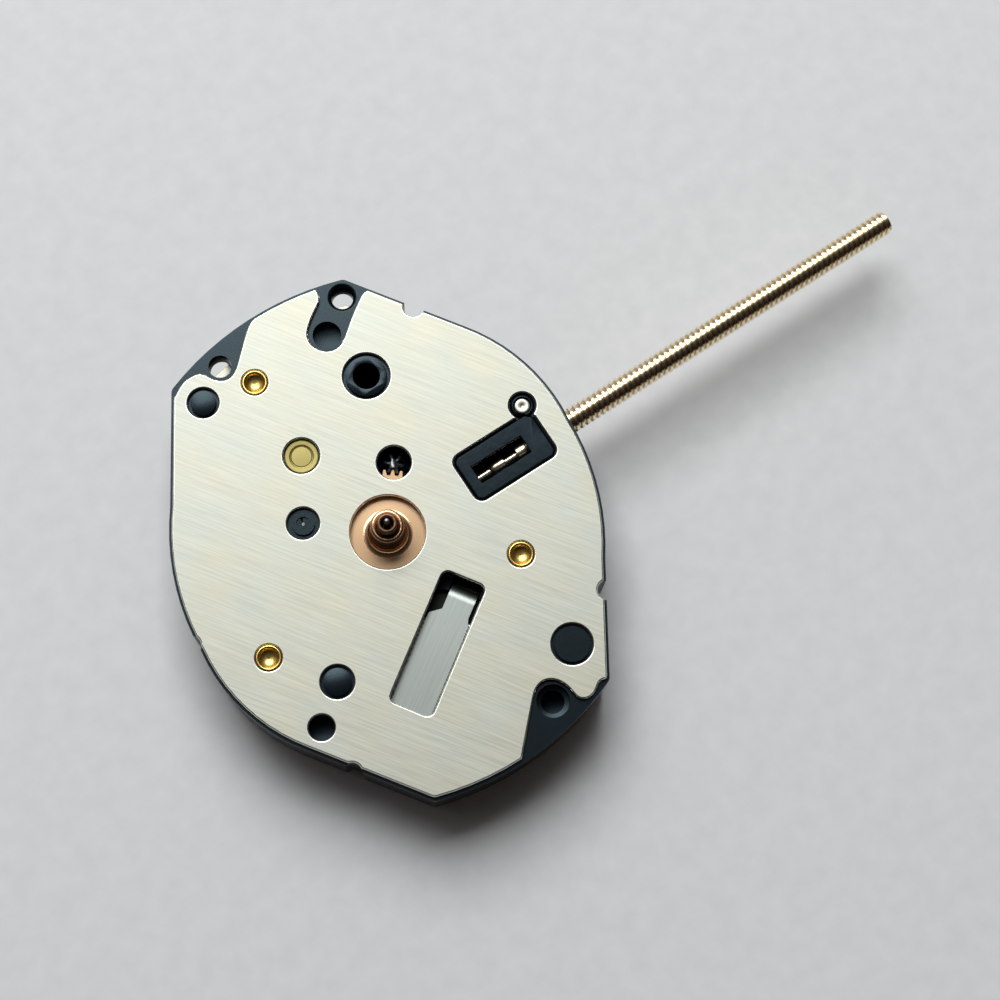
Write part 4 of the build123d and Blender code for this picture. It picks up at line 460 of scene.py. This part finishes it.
# Natural nylon: cream, waxy, with no colour added.
finish_node("coil_flanges", plain_plastic("natural_nylon", "#bcb392", "#d0c8aa", 0.45,
                                          NYLON_MOTTLE))

# Rotor: sintered magnet moulded on a steel pinion, turning in a black plastic bush whose
# dished face shows in the dial plate. The bush keeps the shape of its solid.
MAGNET_GRAIN = 0.04 * MM
PINION_MARK = (0.05 * MM, 0.05 * MM, 0.30 * MM)
# Sintered magnet: dark grey and grainy, as pressed.
finish_node("rotor_magnet", worked_metal("sintered_magnet", "#33333a", "#47474e", 0.45, 0.60,
                                         (MAGNET_GRAIN, MAGNET_GRAIN, MAGNET_GRAIN, 0)))
# Burnished pinion steel: dark grey, its leaves polished after hardening.
burnished_steel = worked_metal("burnished_pinion_steel", "#63666a", "#83878b", 0.24, 0.36,
                               (*PINION_MARK, 0))
finish_node("rotor_pinion", burnished_steel)
dressed_copy("dished_rotor_bush", "rotor_bush", "movement", [moulded_black], 0)

# Going train: stamped brass wheels with crossed-out spokes, riveted on cut steel pinions.
# The seconds arbor runs up through the centre tube and carries the seconds hand.
TUMBLED_GRAIN = 0.10 * MM
ARBOR_MARK = (0.08 * MM, 0.08 * MM, 0.20 * MM)
DIAL_LEVEL = 0
END_FACE = 0.9
# Stamped satin brass: yellow, softly grained by tumbling after the stamp.
satin_brass = worked_metal("stamped_satin_brass", "#b99a55", "#d2b571", 0.30, 0.42,
                           (TUMBLED_GRAIN, TUMBLED_GRAIN, TUMBLED_GRAIN, 0))
for wheel in ("fifth_wheel", "seconds_wheel", "third_wheel", "centre_wheel"):
    finish_node(wheel, satin_brass)
for pinion in ("fifth_pinion", "third_pinion"):
    finish_node(pinion, burnished_steel)
# Bronzed steel: brown oxide on the arbors and pipes that carry the hands. The end faces
# of the seconds arbor are left bare.
bronzed_steel = worked_metal("bronzed_steel", "#6b4f3d", "#8d705a", 0.34, 0.46,
                             (*ARBOR_MARK, 0))
dressed_copy("seconds_hand_arbor", "seconds_arbor", "seconds",
             [burnished_steel, bronzed_steel], 0,
             choose=lambda middle, normal: int(middle.z > DIAL_LEVEL and normal.z < END_FACE))

# Train bridge: stamped nickel-silver plate over the wheels, with a turned pale brass stud
# pressed into it. The stud's head shows in the dial plate, with a ring turned in its face.
SILVER_GRAIN = (2.5 * MM, 0.12 * MM, 0.12 * MM)
SILVER_TURN = 0.4
STUD_PLACE = (-1.0654, 3.9488)
STUD_SIDES = 96
STUD_SHARP_DEGREES = 14
STUD_FEED = 0.05 * MM
# (radius, height) in mm: shank, head, rounded rim, turned ring, and the flat middle.
STUD_PROFILE = [(0.30, -1.95), (0.30, -0.87), (0.585, -0.87), (0.60, -0.855), (0.60, -0.150),
                (0.590, -0.130), (0.565, -0.120), (0.435, -0.124), (0.418, -0.132),
                (0.405, -0.165), (0.380, -0.170), (0.365, -0.150), (0.350, -0.142),
                (0.10, -0.138), (0.02, -0.138)]
# Stamped nickel silver: warm grey, rolled grain 0.12 mm apart.
stamped_silver = worked_metal("stamped_nickel_silver", "#a5a196", "#bdb9ad", 0.30, 0.42,
                              (*SILVER_GRAIN, SILVER_TURN))
finish_node("train_bridge", stamped_silver)
stud = turned_piece("ringed_bridge_stud", STUD_PROFILE, STUD_SIDES, upright_at(STUD_PLACE))
# Pale turned brass: greenish yellow and satin, with rings from the facing cut.
pale_brass = turned_metal("turned_pale_brass", "#8e8250", "#a69b66", 0.34, 0.46, STUD_FEED,
                          STUD_PLACE)
seat(stud, "movement", "pale_brass", pale_brass, "bridge_stud", sharp_degrees=STUD_SHARP_DEGREES)

# Screw tubes: three golden brass posts pressed into the base. Each has a shallow dished
# floor on the dial side, and is tapped from the back for the screw that holds the bridge.
TUBES = {"tube_top_post": ((-1.0243, 7.1065), -1.20),
         "tube_stem_post": ((3.4614, -3.1941), -1.95),
         "tube_left_post": ((-5.8114, -1.4922), -1.20)}
TUBE_SIDES = 64
TUBE_FEED = 0.04 * MM
TUBE_BORE = 0.290
TUBE_RADIUS = 0.440
TUBE_CHAMFER = 0.015
# (radius, height) in mm: outer wall, rounded rim, sloped mouth, dished floor, and the
# ceiling of the bore under it.
TUBE_HEAD = [(TUBE_RADIUS, -0.030), (0.432, -0.008), (0.415, 0.000), (0.385, 0.000),
             (0.365, -0.012), (0.310, -0.080), (0.300, -0.110), (0.250, -0.150),
             (0.150, -0.185), (0.020, -0.200), (0.020, -0.585), (TUBE_BORE, -0.585)]
for number, (node, (centre, foot)) in enumerate(TUBES.items()):
    # Turned golden brass: deep yellow mirror, darker where it sees only itself.
    golden_brass = turned_metal("turned_golden_brass_" + str(number), "#dfb04c", "#f6dc90",
                                0.24, 0.34, TUBE_FEED, centre)
    tube_foot = [(TUBE_BORE, foot), (TUBE_RADIUS - TUBE_CHAMFER, foot),
                 (TUBE_RADIUS, foot + TUBE_CHAMFER)]
    post = turned_piece("drilled_" + node, tube_foot + TUBE_HEAD, TUBE_SIDES,
                        upright_at(centre), ring=True)
    seat(post, "movement", "gold_brass", golden_brass, node)

# Circuit board: glass-epoxy under green solder mask, with the chip under a poured resin
# drop and the quartz in its drawn can, which hangs on two leads.
LACQUER_MOTTLE = 0.25 * MM
RESIN_MOTTLE = 0.50 * MM
QUARTZ_TURN = math.radians(-61.0)
QUARTZ_LINE = (1.5 * MM, 0.08 * MM, 0.08 * MM)
# Solder-masked board: green lacquer, half glossy.
finish_node("circuit_board", plain_plastic("solder_masked_board", "#1d4a2a", "#2a6339", 0.35,
                                           LACQUER_MOTTLE))
# Poured black resin: wet gloss, as it set.
finish_node("chip_potting", plain_plastic("poured_black_resin", "#0d0e10", "#17181b", 0.12,
                                          RESIN_MOTTLE))
# Drawn can and tinned leads of the quartz: clean pale grey, lines along the can.
drawn_tube = worked_metal("drawn_quartz_can", "#a8a8a4", "#c6c6c2", 0.20, 0.30,
                          (*QUARTZ_LINE, QUARTZ_TURN))
finish_node("crystal_can", drawn_tube)
finish_node("crystal_leads", drawn_tube)

# Back: dark blue moulded spacer over the circuit, stamped sheet cover, and three screws
# with slotted cheese heads that clamp cover, bridge and base on the brass tubes.
SPACER_GRAIN = 0.06 * MM
COVER_EDGE = 0.03 * MM
SCREWS = {"screw_top": (-1.0241, 7.1064), "screw_stem": (3.4612, -3.1942),
          "screw_left": (-5.8112, -1.4921)}
SCREW_EDGE = 0.015 * MM
SCREW_FEED = 0.04 * MM
# Moulded blue spacer: dark blue, matt, with a fine grain.
finish_node("circuit_spacer", plain_plastic("moulded_blue_spacer", "#16283d", "#223852", 0.42,
                                            SPACER_GRAIN))
dressed_copy("stamped_back_cover", "back_cover", "movement", [stamped_silver],
             COVER_EDGE)
for number, (node, centre) in enumerate(SCREWS.items()):
    # Turned screw steel: bright grey mirror with the lathe's fine rings.
    screw_steel = turned_metal("turned_screw_steel_" + str(number), "#b3b0a8", "#d6d3ca",
                               0.16, 0.28, SCREW_FEED, centre)
    dressed_copy("slotted_" + node, node, "movement", [screw_steel], SCREW_EDGE)

# Winding stem: hardened steel rod, turned to collar, neck, block and pilot inside, with a
# rolled M0.9 thread of 0.225 mm pitch from the rim outwards that takes the crown.
STEM_DEPTH = -0.75
STEM_SIDES = 48
STEM_SHARP_DEGREES = 30
PITCH = 0.225
CREST = 0.45
ROOT = 0.385
RIDGE_HEART = 0.30
RIDGE_HALF_WIDTH = 0.42
THREAD_FROM = 7.40
THREAD_TO = 21.63
THREAD_STEPS = 32
CREST_PALE_BAND = 0.01
PLAIN_FROM, PLAIN_TO = ROOT - 0.02, ROOT - 0.03
RUB_GRAIN = 0.08 * MM
# (radius, distance from the middle of the dial) in mm: pilot, cone, block, neck, collar,
# the lever's groove, bearing, thread root, and the cut end.
STEM_PROFILE = [(0.13, 2.95), (0.15, 2.97), (0.17, 4.25), (0.17, 4.29), (0.22, 4.36),
                (0.270, 4.46), (0.270, 4.87), (0.25, 4.90), (0.16, 4.91), (0.16, 5.39),
                (0.33, 5.40), (0.36, 5.43), (0.36, 5.86), (0.33, 5.89), (0.20, 5.90),
                (0.20, 6.42), (0.44, 6.43), (CREST, 6.45), (CREST, 7.19), (ROOT, THREAD_FROM),
                (ROOT, 21.70), (0.33, 21.75), (0.02, 21.75)]
stem_frame = (Matrix.Translation((0, 0, STEM_DEPTH * MM))
              @ Matrix.Rotation(math.radians(90), 4, "Y"))
stem = turned_piece("threaded_winding_stem", STEM_PROFILE, STEM_SIDES, stem_frame)

# Stem steel: the colour follows the distance from the stem's axis, tan in the grooves as painted
# shade and pale straw on the crests. The thinner turned parts inside take the pale tone.
groove_shaded_steel = empty_material("oiled_stem_steel")
place = add_node(groove_shaded_steel, "ShaderNodeTexCoord")
across = add_node(groove_shaded_steel, "ShaderNodeMapping", [("Vector", place.outputs["Object"])],
                  Location=(0, 0, -STEM_DEPTH * MM), Scale=(0, 1, 1))
reach = add_node(groove_shaded_steel, "ShaderNodeVectorMath", [(0, across.outputs["Vector"])],
                 operation="LENGTH")
# Painted shade: the tone darkens from the crests down into the thread's grooves.
depth = add_node(groove_shaded_steel, "ShaderNodeMapRange", [("Value", reach.outputs["Value"])],
                 **{"From Min": ROOT * MM, "From Max": (CREST - CREST_PALE_BAND) * MM})
inside = add_node(groove_shaded_steel, "ShaderNodeMapRange", [("Value", reach.outputs["Value"])],
                  **{"From Min": PLAIN_FROM * MM, "From Max": PLAIN_TO * MM})
pale_share = add_node(groove_shaded_steel, "ShaderNodeMath", [(0, depth.outputs["Result"]),
                                                 (1, inside.outputs["Result"])],
                 operation="MAXIMUM")
tone = set_ramp(add_node(groove_shaded_steel, "ShaderNodeValToRGB", [("Fac", pale_share.outputs["Value"])]),
                (0.0, "#cdb48c"), (0.75, "#fbeed4"))
rub = add_node(groove_shaded_steel, "ShaderNodeTexNoise", [("Vector", place.outputs["Object"])],
               Scale=1 / RUB_GRAIN, Detail=3.0)
gloss = add_node(groove_shaded_steel, "ShaderNodeMapRange", [("Value", rub.outputs["Fac"])],
                 **{"To Min": 0.18, "To Max": 0.30})
shader = add_node(groove_shaded_steel, "ShaderNodeBsdfPrincipled",
                  [("Base Color", tone.outputs["Color"]), ("Roughness", gloss.outputs["Result"])],
                  Metallic=1.0)
add_node(groove_shaded_steel, "ShaderNodeOutputMaterial", [("Surface", shader.outputs["BSDF"])])

thread_run = THREAD_TO - THREAD_FROM - PITCH / 2
thread_start = stem_frame @ Vector((0, 0, (THREAD_FROM + PITCH / 2) * MM))
ridge_depth = CREST - RIDGE_HEART
wind(stem, turns=thread_run / PITCH, length=thread_run * MM, mean_radius=RIDGE_HEART * MM,
     steps=THREAD_STEPS, ridge_size=(ridge_depth / math.cos(HALF_SIDE_ANGLE) * MM,
                                     RIDGE_HALF_WIDTH * PITCH * MM, 1.0),
     place=tuple(thread_start), turn=tuple(stem_frame.to_euler()), finish=groove_shaded_steel)
seat(stem, "stem", "steel", None, "winding_stem", sharp_degrees=STEM_SHARP_DEGREES)

# Keyless works: clutch on the stem's square, setting lever on its axle with a wire spring,
# rocker bar with the setting wheel, and the lever that stops the train while the time is set.
TOOL_MARK = 0.10 * MM
LEVER_GRAIN = (1.2 * MM, 0.08 * MM, 0.08 * MM)
LEVER_TURN = 0.6
AXLE_PLACE = (6.47, 1.26)
AXLE_SIDES = 48
AXLE_FEED = 0.03 * MM
# (radius, height) in mm: pin, rounded rim, faced end, and the dimple in its middle.
AXLE_PROFILE = [(0.28, -1.25), (0.28, -0.125), (0.262, -0.095), (0.235, -0.082),
                (0.200, -0.080), (0.075, -0.080), (0.050, -0.095), (0.010, -0.100)]
# Bright turned steel: pale grey mirror, broken by fine tool marks.
bright_steel = worked_metal("bright_turned_steel", "#b4afa3", "#d3cfc3", 0.24, 0.36,
                            (TOOL_MARK, TOOL_MARK, TOOL_MARK, 0))
finish_node("clutch_wheel", bright_steel)
# Stamped lever steel: duller, with the rolled grain along the sheet.
stamped_steel = worked_metal("stamped_lever_steel", "#8d9090", "#a9adac", 0.30, 0.42,
                             (*LEVER_GRAIN, LEVER_TURN))
for part in ("setting_lever", "lever_spring", "rocker_bar", "reset_lever"):
    finish_node(part, stamped_steel)
finish_node("setting_wheel", satin_brass)
axle = turned_piece("faced_lever_axle", AXLE_PROFILE, AXLE_SIDES, upright_at(AXLE_PLACE))
# Faced axle steel: pale and satin, with the centre dimple that the lathe leaves.
faced_steel = turned_metal("faced_axle_steel", "#bdb8ae", "#d2cec5", 0.34, 0.44, AXLE_FEED,
                           AXLE_PLACE)
seat(axle, "movement", "steel", faced_steel, "lever_axle")

# Motion works: cannon pinion on the centre tube, minute wheel beside it, and the hour
# wheel, a thin disc plated in rose gold with its pipe drawn up round the cannon.
CANNON_BRONZED_FROM = -0.10
PINION_TOP_FROM = -0.30
LEVEL_FACE = 0.7
PIPE_SHADE_RADIUS = 0.66
PIPE_SHADE_FROM = -0.125
PIPE_WALL = 0.3
FILLET_RADIUS = 0.90
FILLET_FACE = 0.02
PLATE_FEED = 0.05 * MM
PIPE_FEED = 0.04 * MM
dressed_copy("bronzed_cannon_pinion", "cannon_pinion", "cannon",
             [burnished_steel, bronzed_steel], 0,
             choose=lambda middle, normal: int(middle.z > CANNON_BRONZED_FROM))
# The minute wheel's disc is moulded in the base's black plastic round its steel pinion.
dressed_copy("dark_minute_wheel", "minute_wheel", "minute",
             [moulded_black, burnished_steel], 0,
             choose=lambda middle, normal: int(middle.z > PINION_TOP_FROM
                                               and normal.z > LEVEL_FACE))
# Rose-gold plate: pinkish tan, satin on the flat of the disc with rings from the lathe.
rose_plate = turned_metal("satin_rose_gold_plate", "#aa8b6b", "#c1a283", 0.34, 0.44, PLATE_FEED,
                          (0, 0))
# Burnished rose gold: the same plate, glossier and painted paler as highlight at the pipe's foot.
rose_highlight = turned_metal("burnished_rose_gold", "#e2ad84", "#f2c8a2", 0.14, 0.22, PLATE_FEED,
                           (0, 0))
# Pipe copper: the pipe's side wall, painted dark red-brown as shade.
shaded_pipe_copper = turned_metal("bronzed_copper_pipe", "#4e1c0e", "#6e321e", 0.26, 0.36,
                              PIPE_FEED, (0, 0))


def hour_wheel_finish(middle, normal):
    """Painted shade on the pipe's wall, painted highlight on the fillet at its foot, satin
    elsewhere.
    """
    reach_out = math.hypot(middle.x, middle.y)
    if reach_out < PIPE_SHADE_RADIUS and middle.z > PIPE_SHADE_FROM and normal.z < PIPE_WALL:
        return 2
    return int(reach_out < FILLET_RADIUS and normal.z > FILLET_FACE)


dressed_copy("plated_hour_wheel", "hour_wheel", "hour",
             [rose_plate, rose_highlight, shaded_pipe_copper], 0, choose=hour_wheel_finish)

# Window insert: black plastic frame snapped in from below, with a narrow rolled lip all
# round, a cut for the stem in its middle and an ear round the lever's axle.
INSERT_HAZE = 0.25 * MM
INSERT_HAZE_DEPTH = 0.012 * MM
INSERT_EDGE = 0.03 * MM
# Satin black plastic: smoother than the base, bluish grey where it sees the window.
satin_black = empty_material("satin_black_plastic")
place = add_node(satin_black, "ShaderNodeTexCoord")
haze = add_node(satin_black, "ShaderNodeTexNoise",
                [("Vector", place.outputs["Object"])], Scale=1 / INSERT_HAZE, Detail=3.0)
tone = set_ramp(add_node(satin_black, "ShaderNodeValToRGB", [("Fac", haze.outputs["Fac"])]),
                (0.3, "#06090d"), (0.7, "#0d131a"))
relief = add_node(satin_black, "ShaderNodeBump", [("Height", haze.outputs["Fac"])],
                  Strength=0.35, Distance=INSERT_HAZE_DEPTH)
shader = add_node(satin_black, "ShaderNodeBsdfPrincipled",
                  [("Base Color", tone.outputs["Color"]), ("Normal", relief.outputs["Normal"])],
                  **{"Roughness": 0.28, "IOR": 1.5, "Specular IOR Level": 0.32,
                     "Specular Tint": linear("#bfe0f2")})
add_node(satin_black, "ShaderNodeOutputMaterial", [("Surface", shader.outputs["BSDF"])])
dressed_copy("window_moulding", "window_insert", "movement", [satin_black],
             INSERT_EDGE)

# Dial plate: nickel-plated sheet stamped to shape, brushed in one direction after the
# stamp. Each cut keeps a rolled-over edge that the window light picks out as a thin line.
BRUSH_TURN = math.radians(-54.9)
BRUSH_PITCH = 0.070 * MM
BRUSH_LENGTH = 2.4 * MM
BRUSH_DEPTH = 0.004 * MM
PLATING_CLOUD = 2.2 * MM
ROLLED_EDGE = 0.06 * MM
PUNCH_MARK = 0.05 * MM
# Brushed nickel: pale champagne with fine parallel scratches. The real ones are 0.02 mm
# apart, too fine to show, so they are drawn 0.07 mm apart; a faint cloud lies over them.
brushed_nickel = empty_material("brushed_nickel_plate")
place = add_node(brushed_nickel, "ShaderNodeTexCoord")
along = add_node(brushed_nickel, "ShaderNodeMapping",
                 [("Vector", place.outputs["Object"])], vector_type="TEXTURE",
                 Rotation=(0, 0, BRUSH_TURN), Scale=(BRUSH_LENGTH, BRUSH_PITCH, BRUSH_PITCH))
scratch = add_node(brushed_nickel, "ShaderNodeTexNoise",
                   [("Vector", along.outputs["Vector"])], Scale=1.0, Detail=5.0, Roughness=0.62)
cloud = add_node(brushed_nickel, "ShaderNodeTexNoise",
                 [("Vector", place.outputs["Object"])], Scale=1 / PLATING_CLOUD, Detail=2.0)
tone = set_ramp(add_node(brushed_nickel, "ShaderNodeValToRGB",
                         [("Fac", scratch.outputs["Fac"])]),
                (0.28, "#bebfb6"), (0.72, "#e0e0d4"))
warmth = set_ramp(add_node(brushed_nickel, "ShaderNodeValToRGB",
                           [("Fac", cloud.outputs["Fac"])]), (0.35, "#fffdf8"), (0.65, "#fafdff"))
# Sockets 6 and 7 are the Mix node's two colours, and output 2 is the colour it gives.
blend = add_node(brushed_nickel, "ShaderNodeMix",
                 [(6, tone.outputs["Color"]), (7, warmth.outputs["Color"])],
                 data_type="RGBA", blend_type="MULTIPLY", Factor=1.0)
gloss = add_node(brushed_nickel, "ShaderNodeMapRange", [("Value", scratch.outputs["Fac"])],
                 **{"To Min": 0.48, "To Max": 0.62})
relief = add_node(brushed_nickel, "ShaderNodeBump", [("Height", scratch.outputs["Fac"])],
                  Strength=0.30, Distance=BRUSH_DEPTH)
shader = add_node(brushed_nickel, "ShaderNodeBsdfPrincipled",
                  [("Base Color", blend.outputs[2]), ("Roughness", gloss.outputs["Result"]),
                   ("Normal", relief.outputs["Normal"])], Metallic=1.0)
add_node(brushed_nickel, "ShaderNodeOutputMaterial", [("Surface", shader.outputs["BSDF"])])
# Bright nickel edge: the same plating, glossier where the punch burnished it, and painted paler
# as highlight.
highlight_edge_nickel = worked_metal("bright_punched_edge", "#e9ebe2", "#fbfbf4", 0.26, 0.36,
                           (PUNCH_MARK, PUNCH_MARK, PUNCH_MARK, 0), bump=0.05)
dressed_copy("brushed_dial_plate", "dial_plate", "movement",
             [brushed_nickel, highlight_edge_nickel], ROLLED_EDGE, edge_finish=1)

# Sheet of pale paper that the movement lies on, lit by a window beyond the top of the view.
# The sheet keeps the soft shadow, and the room's light fills it.
FLOOR = -3.15 * MM
SHEET_REACH = 1000 * MM
PAPER_FIBRE = 0.8 * MM
# Matt paper: pale and quite dull, faintly cloudy where its fibres gather.
paper = empty_material("matt_grey_paper")
place = add_node(paper, "ShaderNodeTexCoord")
fibre = add_node(paper, "ShaderNodeTexNoise",
                 [("Vector", place.outputs["Object"])], Scale=1 / PAPER_FIBRE, Detail=4.0)
tone = set_ramp(add_node(paper, "ShaderNodeValToRGB", [("Fac", fibre.outputs["Fac"])]),
                (0.3, "#f0f2f5"), (0.7, "#f7f8fb"))
shader = add_node(paper, "ShaderNodeBsdfPrincipled",
                  [("Base Color", tone.outputs["Color"])], Roughness=0.9)
add_node(paper, "ShaderNodeOutputMaterial", [("Surface", shader.outputs["BSDF"])])
sheet_mesh = bpy.data.meshes.new("paper_sheet")
sheet_mesh.from_pydata([(-SHEET_REACH, -SHEET_REACH, FLOOR), (SHEET_REACH, -SHEET_REACH, FLOOR),
                        (SHEET_REACH, SHEET_REACH, FLOOR), (-SHEET_REACH, SHEET_REACH, FLOOR)],
                       [], [(0, 1, 2, 3)])
sheet_mesh.materials.append(paper)
sheet = put_in_scene("paper_sheet", sheet_mesh)

# Window: one soft square of daylight, high beyond the top of the view, and round it a dim
# warm room that is brightest on the window's side.
WINDOW_WAY = Vector((0.24, 0.70, 1.0)).normalized()
WINDOW_DISTANCE = 260 * MM
WINDOW_WIDTH_SHARE = 0.68
WINDOW_POWER = 0.53
DAYLIGHT = (0.985, 1.0, 0.98)
BRIGHT_SIDE = (0.20, 0.85, 0.48)
ROOM_STRENGTH = 0.42
lamp = bpy.data.lights.new("window", "AREA")
lamp.shape = "SQUARE"
lamp.size = WINDOW_WIDTH_SHARE * WINDOW_DISTANCE
lamp.energy = WINDOW_POWER
lamp.color = DAYLIGHT
window = put_in_scene("window", lamp)
window.location = WINDOW_WAY * WINDOW_DISTANCE
window.rotation_euler = WINDOW_WAY.to_track_quat("Z", "Y").to_euler()

world = bpy.data.worlds.new("room")
bpy.context.scene.world = world
world.use_nodes = True
world.node_tree.nodes.clear()
way = add_node(world, "ShaderNodeTexCoord")
facing = add_node(world, "ShaderNodeVectorMath", [(0, way.outputs["Generated"])],
                  operation="DOT_PRODUCT")
facing.inputs[1].default_value = BRIGHT_SIDE
share = add_node(world, "ShaderNodeMapRange", [("Value", facing.outputs["Value"])],
                 **{"From Min": -1.0})
sky = set_ramp(add_node(world, "ShaderNodeValToRGB", [("Fac", share.outputs["Result"])]),
               (0.30, "#2a201b"), (0.74, "#5f5a55"), (0.93, "#ffffff"))
room = add_node(world, "ShaderNodeBackground", [("Color", sky.outputs["Color"])],
                Strength=ROOM_STRENGTH)
add_node(world, "ShaderNodeOutputWorld", [("Surface", room.outputs["Background"])])

# Camera at the photograph's place, above the movement and a little to the lower left. It
# is turned so that the plate and the stem fall where the photograph shows them.
RIGHT = Vector((0.83412468, -0.55058317, 0.03307853))
UP = Vector((0.53055534, 0.81729029, 0.22482795))
BACK = Vector((-0.15082125, -0.16998455, 0.97383685))
EYE = Vector((-7.01561422, -13.49353661, 70.54072711)) * MM
SENSOR_WIDTH = 36
FOCAL_LENGTH = 74.45
NEAR_CLIP = 0.001
lens = bpy.data.cameras.new("camera")
lens.sensor_width = SENSOR_WIDTH
lens.lens = FOCAL_LENGTH
lens.clip_start = NEAR_CLIP
camera = put_in_scene("camera", lens)
camera.matrix_world = Matrix.Translation(EYE) @ Matrix((RIGHT, UP, BACK)).transposed().to_4x4()
bpy.context.scene.camera = camera
bpy.context.scene.view_settings.view_transform = "Standard"
